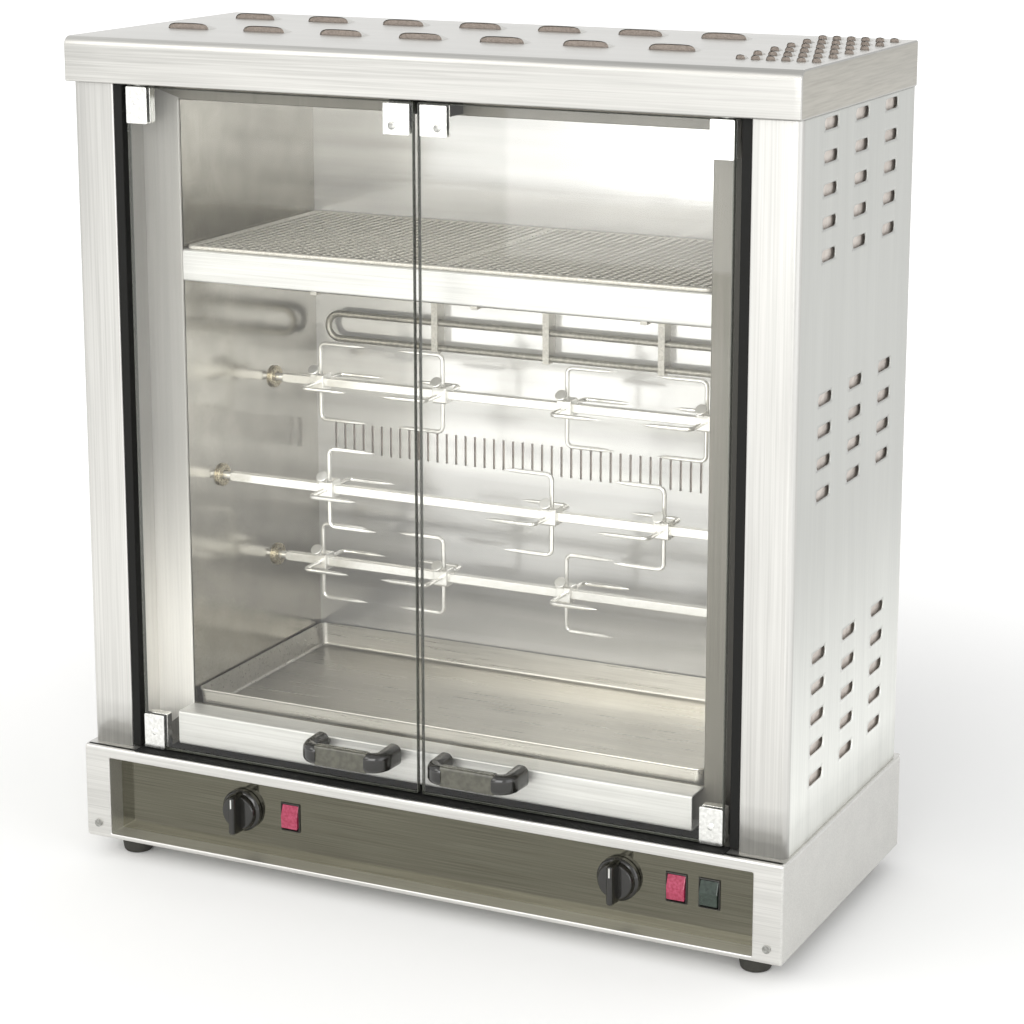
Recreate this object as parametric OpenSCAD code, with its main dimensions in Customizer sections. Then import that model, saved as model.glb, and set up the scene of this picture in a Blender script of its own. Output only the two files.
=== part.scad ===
// Countertop rotisserie oven with a warming compartment above the roasting chamber.
// Width runs along X, the front faces -Y, and Z is up. The origin lies on the floor,
// under the middle of the whole object's outline. All sizes are in millimetres.

/* [Base] */
// Width of the base box
base_w = 850; // [820:5:1000]
// Depth of the base box
base_d = 376; // [370:2:460]
// Height of the base box
base_h = 110; // [106:1:140]
// Thickness of the housing sheet
sheet = 1.5; // [1.2:0.1:2]
// Width of the rim at each side of the control recess
rim_side = 33; // [26:1:45]
// Height of the rim above the control recess
rim_top = 13; // [8:1:18]
// Height of the rim below the control recess
rim_bottom = 6; // [5:1:12]
// Depth of the control recess behind the base front
recess = 25; // [20:1:32]

/* [Feet] */
// Height of a rubber foot
foot_h = 24; // [18:1:40]
// Radius of a rubber foot
foot_r = 18; // [14:1:24]
// Distance of the foot centres from the sides of the base
foot_in_x = 43; // [30:1:60]
// Distance of the foot centres from the front and back of the base
foot_in_y = 40; // [28:1:60]
// Radius of the bolt that holds a foot
foot_bolt_r = 4; // [3:0.5:5]

/* [Cabinet] */
// Distance of the cabinet sides inside the base sides
cab_in = 3.5; // [2:0.5:12]
// Height of the cabinet between base and cap
cab_h = 756; // [740:2:900]
// Setback of the cabinet front from the base front
cab_setback = 16; // [14:1:26]
// Distance of the cabinet back from the base back
cab_back_in = 11; // [9:1:20]
// Width of the front column at each side
column_w = 52; // [46:1:56]
// Thickness of the side panels
side_t = 1.2; // [1:0.1:1.6]
// Outer radius of the fold between side panel and column
fold_r = 8; // [4:1:12]
// Width of the flange that the back panel lies on
back_flange = 16; // [12:1:24]

/* [Side vents] */
// Length of a side slot
slot_l = 41; // [30:1:60]
// Height of a side slot
slot_h = 12; // [8:1:16]
// Height between slot rows
slot_pitch = 33; // [24:1:36]
// Number of slot columns
slot_cols = 3; // [2:1:3]
// Distance of the first slot column from the base front
slot_first = 100; // [80:1:120]
// Distance between slot columns
slot_step = 93; // [80:1:100]
// Distance of the upper field's first row below the cabinet top
slot_top = 11; // [10:1:30]
// Height of the middle field's first row above the base
slot_mid = 466; // [430:1:480]
// Height of the lower field's first row above the base
slot_low = 195; // [175:1:220]

/* [Cap] */
// Overhang of the cap at each side of the cabinet
cap_over = 2.5; // [2:0.5:6]
// Height of the cap
cap_h = 49; // [36:1:70]
// Overhang of the cap in front of the cabinet
cap_front = 11; // [6:1:12]
// Radius of the bend along the cap's front edge
cap_r = 10; // [5:1:14]
// Depth of the flange under the cap's front edge
cap_flange = 45; // [40:1:60]
// Width of a top louvre
louvre_w = 52; // [40:1:70]
// Height of a top louvre
louvre_h = 7; // [5:0.5:10]
// Distance of the first louvre's middle from the cap's left side
louvre_edge = 76; // [50:1:100]
// Distance of the front louvre row behind the cap's front
louvre_row = 132; // [80:1:160]
// Distance between the louvre rows
louvre_row_step = 143; // [90:1:160]
// Distance between louvres in a row
louvre_pitch = 97; // [80:1:97]
// Width of a small louvre over the drive compartment
small_w = 10; // [7:1:12]
// Height of a small louvre
small_h = 5; // [3:0.5:6]
// Distance between small louvres across the cap
small_pitch = 16; // [14:1:17]
// Number of small louvres across the cap
small_cols = 6; // [3:1:6]
// Distance of the last small louvre from the cap's right side
small_edge = 14; // [12:1:30]
// Distance of the first small row behind the cap's front
small_row = 78; // [50:1:100]
// Distance between the small rows
small_row_step = 48; // [24:1:60]

/* [Chamber] */
// Width of the drive space between the chamber and the cabinet side
side_room = 108.5; // [105:0.5:130]
// Distance of the opening frame behind the door fronts
frame_set = 42; // [38:1:50]
// Space between the chamber back and the back panel
rear_gap = 15; // [12:1:30]
// Height of the rail above the opening
head_h = 20; // [18:1:30]
// Height of the chamber floor above the base
floor_rise = 36; // [30:1:40]
// Distance of the sill behind the door fronts
sill_set = 10; // [9.5:0.5:14]
// Height of the sill's lower edge above the base
sill_low = 9; // [6:1:12]
// Height of the sill face
sill_h = 39; // [34:1:44]
// Height of the drip tray
tray_h = 29; // [20:1:40]
// Thickness of the drip tray's sheet
tray_t = 1.2; // [0.8:0.1:1.5]
// Distance of the first slit from the chamber's side
slit_edge = 18; // [12:1:40]
// Distance between slits
slit_pitch = 12.5; // [10:0.5:12.5]
// Width of a slit
slit_w = 3; // [2:0.5:5]
// Length of a slit
slit_l = 36; // [20:1:50]
// Height of the slits' middle above the base
slit_rise = 301; // [260:1:330]

/* [Warming shelf] */
// Height of the shelf above the base
shelf_rise = 571; // [555:1:600]
// Height of the rail in front of the shelf
rail_h = 35; // [24:1:50]
// Thickness of the shelf's rim bars
shelf_bar = 5; // [4:0.5:8]
// Thickness of the shelf's wires
wire = 2.5; // [1.5:0.5:3]
// Distance between the shelf's wires
wire_pitch = 30; // [20:1:60]

/* [Doors] */
// Thickness of the door glass
glass_t = 6; // [5:0.5:7]
// Gap between column and glass
gap_side = 17.5; // [16:0.5:20]
// Gap between the two glasses
gap_mid = 5; // [4:0.5:10]
// Gap above and below the glass
gap_end = 3; // [2.5:0.5:5]
// Width of a hinge plate
plate_w = 26; // [22:1:32]
// Height of a hinge plate
plate_h = 40; // [30:1:60]
// Thickness of the hinge block behind the glass
block_t = 10; // [10:0.5:11]
// Radius of a hinge pin
pin_r = 4; // [3:0.25:4.25]
// Distance of the hinge axis from the glass edge
pivot_in = 11; // [9:0.5:12]
// Depth of the pin in its block
pin_depth = 13; // [8:1:20]
// Width of a catch plate
catch_w = 31; // [24:1:40]
// Height of a catch plate
catch_h = 33; // [26:1:44]

/* [Handles] */
// Distance from the glass to the front of the grip
handle_reach = 42; // [36:1:55]
// Distance between the two posts of a handle
handle_span = 88; // [60:1:120]
// Radius of the grip
grip_r = 10; // [7:0.5:11]
// Radius of a post
post_r = 8; // [6:0.5:9]
// Distance of the nearer post from the glass edge
post_in = 30; // [20:1:50]
// Height of the handle above the lower glass edge
handle_rise = 40; // [25:1:60]
// Radius of a handle screw
screw_r = 2.5; // [2:0.25:3]

/* [Controls] */
// Height of the controls above the underside of the base
control_rise = 55; // [50:1:58]
// Radius of a knob
knob_r = 24; // [18:1:26]
// Height of a knob over the panel
knob_h = 28; // [22:1:32]
// Thickness of a knob's grip bar
knob_bar = 11; // [8:1:16]
// Distance of the left knob from the recess's left side
knob_left_in = 163; // [120:1:180]
// Distance of the right knob from the recess's right side
knob_right_in = 159; // [150:1:200]
// Radius of a thermostat spindle
spindle_r = 3; // [2.5:0.25:4]
// Distance of the left switch from the recess's left side
switch_left_in = 224; // [215:1:260]
// Distance of the inner right switch from the recess's right side
switch_inner_in = 94; // [90:1:100]
// Distance of the outer right switch from the recess's right side
switch_outer_in = 57; // [40:1:58]
// Width of a rocker
rocker_w = 20.4; // [16:0.2:21]
// Height of a rocker
rocker_h = 26.8; // [22:0.2:28]
// Travel of a rocker in degrees
rocker_tilt = 16; // [12:1:18]

/* [Spits] */
// Side of the square spit bar
spit_side = 10; // [8:0.5:11]
// Radius of the round end of a spit
spit_pin_r = 4.5; // [3.5:0.25:5]
// Height of the upper spit above the base
spit_upper = 392; // [385:1:410]
// Height of the middle spit above the base
spit_middle = 300; // [290:1:310]
// Height of the lower spit above the base
spit_lower = 176; // [165:1:180]
// Distance of the rear spits from the base front
spit_rear = 250; // [245:1:258]
// Distance of the front spit from the base front
spit_front = 130; // [126:1:135]
// Reach of a fork's arms from the spit's axis
fork_reach = 45; // [30:1:50]
// Length of a fork's prongs
prong_l = 58; // [30:1:70]
// Radius of a fork's arms and prongs
prong_r = 2.5; // [2:0.25:3]

/* [Heating] */
// Radius of a heating tube
tube_r = 4; // [3:0.25:5]
// Height of the rear element above the base
rear_rise = 440; // [432:1:450]
// Distance between the two legs of the rear element
rear_legs = 30; // [24:1:40]
// Distance between the two legs of the upper element
upper_legs = 90; // [60:1:110]
// Distance of the upper element below the shelf rail
upper_drop = 16; // [12:1:24]
// Distance of the upper element's middle from the base front
upper_in = 200; // [150:1:230]
// Height of the clips' tabs over the rear element
clip_tab = 26; // [16:1:36]

/* [Hidden] */
$fn = 48;

// Clearances
running = 0.05;
slip = 0.2;
seat = 0.3;

// Floor level, base and cabinet planes
base_z = foot_h;
base_top = base_z + base_h;
cab_top = base_top + cab_h;
top_z = cab_top + cap_h;
front_y = -(base_d - (handle_reach - cab_setback)) / 2;
back_y = front_y + base_d;
cab_y0 = front_y + cab_setback;
cab_y1 = back_y - cab_back_in;
cab_w = base_w - 2 * cab_in;
cap_w = cab_w + 2 * cap_over;
cab_x = cab_w / 2;
column_x = cab_x - column_w;
cap_y0 = cab_y0 - cap_front;
cap_y1 = cab_y1 - 3;

// Chamber planes
chamber_x = cab_x - side_room;
frame_y = cab_y0 + frame_set;
chamber_y0 = frame_y + sheet;
chamber_y1 = cab_y1 - rear_gap;
floor_z = base_top + floor_rise;
ceiling_z = cab_top - head_h;
sill_y = cab_y0 + sill_set;
sill_z0 = base_top + sill_low;
sill_z1 = sill_z0 + sill_h;
rail_z1 = base_top + shelf_rise;
rail_z0 = rail_z1 - rail_h;
rail_lip = 12;

// Door planes
glass_x1 = column_x - gap_side;
glass_x0 = gap_mid / 2;
glass_z0 = base_top + gap_end;
glass_z1 = cab_top - gap_end;
glass_back = cab_y0 + glass_t;
pivot_x = glass_x1 - pivot_in;
pivot_y = glass_back + block_t / 2;
plate_t = 1.5;
stud_r = 2.5;
catch_stud_r = 4;
catch_in = 3.5;
catch_stud_out = 5;
catch_stud_drop = 7;
magnet_w = 26;
seal_clear = 7;
seal_x0 = glass_x1 + seal_clear;
seal_y0 = glass_back + 2;
sill_seal_t = 1.5;

// Handle places
post_x = glass_x0 + post_in;
handle_z = glass_z0 + handle_rise;
grip_y = cab_y0 - handle_reach + grip_r;
screw_depth = 12;
screw_head_r = 5;
screw_head_t = 2.5;

// Controls
panel_x = base_w / 2 - rim_side;
knob_left = panel_x - knob_left_in;
knob_right = panel_x - knob_right_in;
switch_left = panel_x - switch_left_in;
switch_inner = panel_x - switch_inner_in;
switch_outer = panel_x - switch_outer_in;
control_z = base_z + control_rise;
panel_y = front_y + recess;
panel_t = 2;
knob_gap = 0.5;
knob_skirt = 6;
knob_bore = 18;
thermostat_r = 20;
thermostat_l = 32;
pocket_w = rocker_w + 0.6;
pocket_h = rocker_h + 3.2;
bezel_rim = 3;
bezel_t = 2;
bezel_wall = 1.6;
bezel_depth = 16;
rocker_pivot = 4;
trunnion_r = 1.5;
rocker_tip = 2.5;
rocker_ridge = 5.5;
switch_places = [-switch_left, switch_inner, switch_outer];

// Spits and their drives. A fork's place is a share of half the chamber, with its prongs' direction
rear_y = front_y + spit_rear;
near_y = front_y + spit_front;
upper_z = base_top + spit_upper;
middle_z = base_top + spit_middle;
lower_z = base_top + spit_lower;
spit_places = [[rear_y, upper_z], [near_y, middle_z], [rear_y, lower_z]];
upper_fork_places = [[-0.8, 1], [-0.29, -1], [0.21, 1], [0.745, -1]];
middle_fork_places = [[-0.55, 1], [0.33, -1], [0.75, -1]];
lower_fork_places = [[-0.8, 1], [-0.29, -1], [0.21, 1]];
socket_r = 12;
socket_l = 20;
socket_gap = 2;
socket_bore = 18;
journal_r = 8;
journal_l = 18;
hub = 20;
hub_l = 18;
thumb_r = 7;
thumb_h = 4;
thumb_pin_r = 2;
thumb_seat = spit_side * 0.72;
thumb_l = hub / 2 + 4;
prong_point = 12;
prong_tip_r = 0.4;
bush_flange_r = 13;
bush_flange_t = 4;
bush_barrel_r = 8;
bush_out = 12;
pin_show = 9;
gearbox_t = 28;
gearbox_y = 70;
gearbox_z = 56;
motor_r = 26;
motor_l = 44;
wall_out = chamber_x + sheet;
socket_x1 = chamber_x - socket_gap;
socket_x0 = socket_x1 - socket_l;
bar_x0 = -(chamber_x - bush_flange_t - pin_show);
bar_x1 = socket_x0 + socket_bore - 1;

// Heating tubes
rear_tube_y = chamber_y1 - 12;
rear_tube_z = base_top + rear_rise;
upper_tube_z = rail_z0 - upper_drop;
upper_tube_y = front_y + upper_in;
tube_end = 22;
tube_start = 24;
clip_w = 8;
tube_tail = 8;
clip_wall = 2;
rear_clip_places = [-0.46, 0, 0.46] * chamber_x;
upper_clip_places = [-0.64, 0, 0.64] * chamber_x;

// Side slot rows as heights above the base: upper, middle and lower field
slot_rows = [
    for (k = [0:4]) cab_h - slot_top - slot_pitch * k,
    for (k = [0:3]) slot_mid - slot_pitch * k,
    for (k = [0:4]) slot_low - slot_pitch * k
];

// Back panel fittings
cover_w = 220;
cover_h = 170;
cover_x = 150;
cover_rim = 14;
cover_screw_in = 7;
cover_up = 200;
cover_z = base_top + cover_up;
vent_pitch = 60;
vent_l = 36;
vent_h = 8;
vent_drop = 56;
vent_side = 100;
vent_n = floor((cab_x - vent_side) / vent_pitch);
gland_in = 91.5;
gland_x = cab_x - gland_in;
gland_z = base_top + 60;
gland_r = 8;
gland_bore_r = 5;
gland_out = cab_back_in - 1;
screw_cap_r = 4.5;
screw_cap_t = 2;
rim_screw_rise = 17;

// Colours
steel = "#DCDCD8";
bright = "#ECECEA";
satin = "#C9CAC5";
panel_tone = "#66645A";
black = "#2B2A26";
smoked = [0.75, 0.75, 0.72, 0.35];
red = "#D0405E";
green = "#2D3A30";
zinc = "#A9A9A6";

// A block between two corners
module slab(x, y, z) {
    translate([x[0], y[0], z[0]]) cube([x[1] - x[0], y[1] - y[0], z[1] - z[0]]);
}

// A round bar along X, along Y
module bar_x(r, x0, x1) {
    translate([x0, 0, 0]) rotate([0, 90, 0]) cylinder(r = r, h = x1 - x0);
}
module bar_y(r, y0, y1) {
    translate([0, y1, 0]) rotate([90, 0, 0]) cylinder(r = r, h = y1 - y0);
}

// A drawing in the Y-Z plane, carried along X from x0 to x1
module along_x(x0, x1) {
    translate([x0, 0, 0]) rotate([90, 0, 90]) linear_extrude(x1 - x0) children();
}

// A square with a round end at both sides of Y, cut along X
module oblong_cut(l, h, x0, x1) {
    for (s = [-1, 1]) translate([0, s * (l - h) / 2, 0]) bar_x(h / 2, x0, x1);
    slab([x0, x1], [-(l - h) / 2, (l - h) / 2], [-h / 2, h / 2]);
}

// The four places of the feet
module at_feet() {
    for (sx = [-1, 1], y = [front_y + foot_in_y, back_y - foot_in_y])
        translate([sx * (base_w / 2 - foot_in_x), y, 0]) children();
}

// The places of the three spits, in the Y-Z plane
module at_spits() {
    for (p = spit_places) translate([0, p[0], p[1]]) children();
}

// ---- Base ----

module base_shell() {
    color(steel) difference() {
        union() {
            slab([-base_w / 2, base_w / 2], [front_y + sheet, back_y], [base_z, base_z + sheet]);
            for (s = [0, 1]) mirror([s, 0, 0])
                slab([base_w / 2 - sheet, base_w / 2], [front_y + sheet, back_y], [base_z, base_top]);
            slab([-base_w / 2, base_w / 2], [back_y - sheet, back_y], [base_z, base_top]);
        }
        at_feet() translate([0, 0, base_z - 1]) cylinder(r = foot_bolt_r + slip, h = sheet + 2);
    }
}

module recess_block(grow, y0, y1) {
    slab([-(base_w / 2 - rim_side) - grow, base_w / 2 - rim_side + grow], [y0, y1],
         [base_z + rim_bottom - grow, base_top - rim_top + grow]);
}

module base_front() {
    color(steel) difference() {
        union() {
            slab([-base_w / 2, base_w / 2], [front_y, front_y + sheet], [base_z, base_top]);
            recess_block(sheet, front_y, panel_y);
        }
        recess_block(0, front_y - 1, panel_y + 1);
    }
}

module base_deck() {
    color(steel)
        slab([-base_w / 2 + sheet, base_w / 2 - sheet], [front_y + sheet, back_y - sheet],
             [base_top - sheet, base_top]);
}

module control_panel() {
    color(panel_tone) difference() {
        recess_block(sheet, panel_y, panel_y + panel_t);
        for (x = [-knob_left, knob_right]) translate([x, 0, control_z])
            bar_y(spindle_r + 1, panel_y - 1, panel_y + panel_t + 1);
        for (x = switch_places)
            slab([x - pocket_w / 2 - bezel_wall - slip, x + pocket_w / 2 + bezel_wall + slip],
                 [panel_y - 1, panel_y + panel_t + 1],
                 [control_z - pocket_h / 2 - bezel_wall - slip,
                  control_z + pocket_h / 2 + bezel_wall + slip]);
    }
}

foot_thread = foot_h * 0.5;

module feet() {
    color(black) at_feet() difference() {
        union() {
            cylinder(r = foot_r, h = foot_h - 6);
            translate([0, 0, foot_h - 6]) cylinder(r = foot_r - 3, h = 6);
        }
        translate([0, 0, foot_h - foot_thread]) cylinder(r = foot_bolt_r + running, h = foot_thread + 1);
    }
}

module foot_bolts() {
    color(zinc) at_feet() {
        translate([0, 0, foot_h - foot_thread + 1]) cylinder(r = foot_bolt_r, h = foot_thread - 1 + sheet);
        translate([0, 0, base_z + sheet]) cylinder(r = foot_bolt_r * 1.8, h = foot_bolt_r * 1.2, $fn = 6);
    }
}

// ---- Cabinet ----

module side_profile() {
    fold_x = cab_x - fold_r;
    fold_y = cab_y0 + fold_r;
    translate([cab_x - side_t, fold_y]) square([side_t, cab_y1 - fold_y]);
    translate([column_x, cab_y0]) square([fold_x - column_x, side_t]);
    intersection() {
        translate([fold_x, fold_y]) difference() {
            circle(fold_r);
            circle(fold_r - side_t);
        }
        translate([fold_x, cab_y0]) square(fold_r);
    }
    translate([column_x, cab_y0]) square([side_t, frame_set]);
    translate([cab_x - back_flange, cab_y1 - 2 * side_t]) square([back_flange, side_t]);
}

module side_panel() {
    color(satin) difference() {
        translate([0, 0, base_top]) linear_extrude(cab_h) side_profile();
        for (c = [0:slot_cols - 1], z = slot_rows)
            translate([0, front_y + slot_first + slot_step * c, base_top + z])
                oblong_cut(slot_l, slot_h, cab_x - side_t - 1, cab_x + 1);
    }
}
module left_side_panel() { mirror([1, 0, 0]) side_panel(); }
module right_side_panel() { side_panel(); }

module back_panel() {
    color(satin) difference() {
        slab([-cab_x + side_t, cab_x - side_t], [cab_y1 - side_t, cab_y1], [base_top, cab_top]);
        translate([gland_x, 0, gland_z]) bar_y(gland_r + running, cab_y1 - side_t - 1, cab_y1 + 1);
        slab([cover_x - cover_w / 2 + cover_rim, cover_x + cover_w / 2 - cover_rim],
             [cab_y1 - side_t - 1, cab_y1 + 1], [cover_z + cover_rim, cover_z + cover_h - cover_rim]);
        for (k = [-vent_n:vent_n]) translate([k * vent_pitch, 0, cab_top - vent_drop])
            slab([-vent_l / 2, vent_l / 2], [cab_y1 - side_t - 1, cab_y1 + 1], [-vent_h / 2, vent_h / 2]);
    }
}

module service_cover() {
    color(steel)
        slab([cover_x - cover_w / 2, cover_x + cover_w / 2], [cab_y1, cab_y1 + side_t],
             [cover_z, cover_z + cover_h]);
}

module cable_gland() {
    color(black) translate([gland_x, 0, gland_z]) difference() {
        union() {
            bar_y(gland_r, cab_y1 - side_t - 8, cab_y1 + gland_out);
            bar_y(gland_r + 4, cab_y1, cab_y1 + gland_out * 0.4);
            bar_y(gland_r + 4, cab_y1 - side_t - 6, cab_y1 - side_t);
        }
        bar_y(gland_bore_r, cab_y1 - side_t - 9, cab_y1 + gland_out + 1);
    }
}

module terminal_block() {
    block_w = 56;
    from_wall = 40;
    from_back = 90;
    color(bright) translate([wall_out + from_wall, cab_y1 - from_back, base_top]) difference() {
        slab([-block_w / 2, block_w / 2], [-11, 11], [0, 22]);
        for (k = [-2:2]) translate([k * 10, 0, 12]) cylinder(r = 3, h = 11);
    }
}

// A louvre's side view: open to the front, falling to the sheet behind, with its root in the sheet
louvre_root = sheet / 2;
function louvre_shape(d, h) =
    [[0, -louvre_root], [0, h], [d * 0.35, h * 0.96], [d * 0.7, h * 0.62], [d, 0], [d, -louvre_root]];
function louvre_hollow(d, h, t) =
    [[-1, -2 * sheet], [-1, h - t], [d * 0.33, h * 0.96 - t], [d * 0.66, h * 0.62 - t],
     [d - 2 * t, 0], [d - 2 * t, -2 * sheet]];
small_d = small_w * 1.2;
louvre_d = louvre_w * 0.36;
cap_depth = cap_y1 - cap_y0;
row_end = 20;
louvre_first = -(cap_w / 2 - louvre_edge);
small_x0 = cap_w / 2 - small_edge - (small_cols - 1) * small_pitch;
louvre_n = 1 + floor((small_x0 - small_pitch - louvre_w / 2 - louvre_first) / louvre_pitch);
louvre_rows = 1 + floor((cap_depth - louvre_row - louvre_d - row_end) / louvre_row_step);
small_rows = 1 + floor((cap_depth - small_row - small_d - row_end) / small_row_step);

// Children are placed at each louvre's mouth: x, y on the cap's top face
module at_louvres() {
    for (k = [0:louvre_n - 1], j = [0:louvre_rows - 1])
        translate([louvre_first + louvre_pitch * k, cap_y0 + louvre_row + louvre_row_step * j, top_z])
            children();
}
module at_small_louvres() {
    for (k = [0:small_cols - 1], j = [0:small_rows - 1])
        translate([small_x0 + small_pitch * k, cap_y0 + small_row + small_row_step * j, top_z])
            children();
}
module hood(w, d, h) { along_x(-w / 2, w / 2) polygon(louvre_shape(d, h)); }
module hood_cut(w, d, h) { along_x(-w / 2 + 1, w / 2 - 1) polygon(louvre_hollow(d, h, 1)); }

module cap_side(inset, z0) {
    y0 = cap_y0 + inset;
    y1 = cap_y1 - inset;
    z1 = top_z - inset;
    r = cap_r - inset;
    translate([y0, z0]) square([y1 - y0, z1 - r - z0]);
    translate([y0 + r, z0]) square([y1 - y0 - r, z1 - z0]);
    translate([y0 + r, z1 - r]) circle(r);
}

module top_cap() {
    side_lip = 14;
    color(steel) difference() {
        union() {
            difference() {
                along_x(-cap_w / 2, cap_w / 2) cap_side(0, cab_top);
                along_x(-cap_w / 2 + sheet, cap_w / 2 - sheet) cap_side(sheet, cab_top - 1);
            }
            slab([-cap_w / 2 + sheet, cap_w / 2 - sheet], [cap_y0 + sheet, cap_y0 + cap_flange],
                 [cab_top, cab_top + sheet]);
            for (s = [0, 1]) mirror([s, 0, 0])
                slab([cap_w / 2 - sheet - side_lip, cap_w / 2 - sheet],
                     [cap_y0 + cap_flange, cap_y1 - sheet], [cab_top, cab_top + sheet]);
            at_louvres() hood(louvre_w, louvre_d, louvre_h);
            at_small_louvres() hood(small_w, small_d, small_h);
        }
        at_louvres() hood_cut(louvre_w, louvre_d, louvre_h);
        at_small_louvres() hood_cut(small_w, small_d, small_h);
    }
}

// ---- Chamber ----

module opening_frame() {
    color(bright) difference() {
        slab([-column_x - side_t, column_x + side_t], [frame_y, chamber_y0], [base_top, cab_top]);
        slab([-chamber_x, chamber_x], [frame_y - 1, chamber_y0 + 1], [sill_z1, ceiling_z]);
    }
}

module cavity_wall() {
    slab([chamber_x, wall_out], [chamber_y0, chamber_y1], [base_top, ceiling_z + sheet]);
}

module cavity_left_wall() {
    color(bright) difference() {
        mirror([1, 0, 0]) cavity_wall();
        at_spits() bar_x(bush_barrel_r + slip, -wall_out - 1, -chamber_x + 1);
    }
}

module cavity_right_wall() {
    color(bright) difference() {
        cavity_wall();
        at_spits() bar_x(journal_r + 1.5, chamber_x - 1, wall_out + 1);
        element_places() bar_x(tube_r + slip, chamber_x - 1, wall_out + 1);
    }
}

module cavity_back_wall() {
    slit_n = 1 + floor((2 * (chamber_x - slit_edge) - slit_pitch) / slit_pitch);
    slit_z = base_top + slit_rise;
    color(bright) difference() {
        union() {
            slab([-wall_out, wall_out], [chamber_y1, chamber_y1 + sheet], [base_top, ceiling_z + sheet]);
            slab([-chamber_x + 1, chamber_x - 1], [chamber_y1 - rail_lip, chamber_y1],
                 [rail_z1 - sheet, rail_z1]);
        }
        for (k = [0:slit_n - 1])
            slab([(k - (slit_n - 1) / 2) * slit_pitch - slit_w / 2,
                  (k - (slit_n - 1) / 2) * slit_pitch + slit_w / 2],
                 [chamber_y1 - 1, chamber_y1 + sheet + 1], [slit_z - slit_l / 2, slit_z + slit_l / 2]);
    }
}

module cavity_floor() {
    color(bright)
        slab([-chamber_x, chamber_x], [chamber_y0, chamber_y1], [floor_z - sheet, floor_z]);
}

module cavity_ceiling() {
    color(bright)
        slab([-chamber_x, chamber_x], [chamber_y0, chamber_y1], [ceiling_z, ceiling_z + sheet]);
}

module shelf_divider() {
    color(bright)
        slab([-chamber_x, chamber_x], [chamber_y0 + sheet, chamber_y1],
             [rail_z0 + sheet, rail_z0 + 2 * sheet]);
}

module shelf_rail() {
    color(bright) {
        slab([-chamber_x, chamber_x], [chamber_y0, chamber_y0 + sheet], [rail_z0, rail_z1]);
        for (z = [rail_z0, rail_z1 - sheet])
            slab([-chamber_x, chamber_x], [chamber_y0, chamber_y0 + rail_lip], [z, z + sheet]);
    }
}

module warming_shelf() {
    x1 = chamber_x - 2;
    y0 = chamber_y0 + 2;
    y1 = chamber_y1 - 2;
    wires_x = floor((x1 - shelf_bar) / wire_pitch);
    wires_y = floor((y1 - y0 - shelf_bar) / wire_pitch / 2);
    mid_y = (y0 + y1) / 2;
    color(zinc) {
        difference() {
            slab([-x1, x1], [y0, y1], [rail_z1, rail_z1 + shelf_bar]);
            slab([-x1 + shelf_bar, x1 - shelf_bar], [y0 + shelf_bar, y1 - shelf_bar],
                 [rail_z1 - 1, rail_z1 + shelf_bar + 1]);
        }
        for (k = [-wires_x:wires_x])
            slab([k * wire_pitch - wire / 2, k * wire_pitch + wire / 2],
                 [y0 + shelf_bar, y1 - shelf_bar],
                 [rail_z1 + shelf_bar - wire, rail_z1 + shelf_bar]);
        for (k = [-wires_y + 1:2:wires_y - 1])
            slab([-x1 + shelf_bar, x1 - shelf_bar],
                 [mid_y + k * wire_pitch - wire / 2, mid_y + k * wire_pitch + wire / 2],
                 [rail_z1 + shelf_bar - wire, rail_z1 + shelf_bar]);
    }
}

module drip_tray() {
    x1 = chamber_x - 2;
    y0 = chamber_y0 + 2;
    y1 = chamber_y1 - 2;
    color(bright) difference() {
        slab([-x1, x1], [y0, y1], [floor_z, floor_z + tray_h]);
        slab([-x1 + tray_t, x1 - tray_t], [y0 + tray_t, y1 - tray_t],
             [floor_z + tray_t, floor_z + tray_h + 1]);
    }
}

module front_sill() {
    color(bright) {
        slab([-chamber_x, chamber_x], [sill_y, sill_y + sheet], [sill_z0, sill_z1]);
        for (z = [sill_z0, sill_z1 - sheet])
            slab([-chamber_x, chamber_x], [sill_y, frame_y], [z, z + sheet]);
    }
}

// ---- Heating ----

// Middle line of both elements: the rear one stands, the upper one lies
module element_places() {
    for (s = [-1, 1]) {
        translate([0, rear_tube_y, rear_tube_z + s * rear_legs / 2]) children();
        translate([0, upper_tube_y + s * upper_legs / 2, upper_tube_z]) children();
    }
}

// A hairpin of tube in the X-Y plane, its legs apart by span and its bend at x0
module hairpin(span, x0, x1) {
    for (s = [-1, 1]) translate([0, s * span / 2, 0]) {
        bar_x(tube_r, x0 + span / 2, x1);
        bar_x(tube_r * 0.45, x1, x1 + tube_tail);
    }
    translate([x0 + span / 2, 0, 0]) rotate([0, 0, 90])
        rotate_extrude(angle = 180) translate([span / 2, 0]) circle(tube_r);
}

module heating_elements() {
    color(zinc) {
        translate([0, rear_tube_y, rear_tube_z]) rotate([90, 0, 0])
            hairpin(rear_legs, -chamber_x + tube_start, wall_out + tube_end);
        translate([0, upper_tube_y, upper_tube_z])
            hairpin(upper_legs, -chamber_x + tube_start, wall_out + tube_end);
    }
}

module element_clips() {
    color(zinc) {
        for (x = rear_clip_places) difference() {
            slab([x - clip_w / 2, x + clip_w / 2], [rear_tube_y - tube_r - clip_wall, chamber_y1],
                 [rear_tube_z - rear_legs / 2 - tube_r - clip_wall, rear_tube_z + rear_legs / 2 + clip_tab]);
            element_places() bar_x(tube_r + running, x - clip_w, x + clip_w);
        }
        for (x = upper_clip_places, s = [-1, 1]) difference() {
            translate([0, upper_tube_y + s * upper_legs / 2, 0])
                slab([x - clip_w / 2, x + clip_w / 2], [-tube_r - clip_wall, tube_r + clip_wall],
                     [upper_tube_z - tube_r - clip_wall, rail_z0 + sheet]);
            element_places() bar_x(tube_r + running, x - clip_w, x + clip_w);
        }
    }
}

// ---- Spits ----

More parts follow.
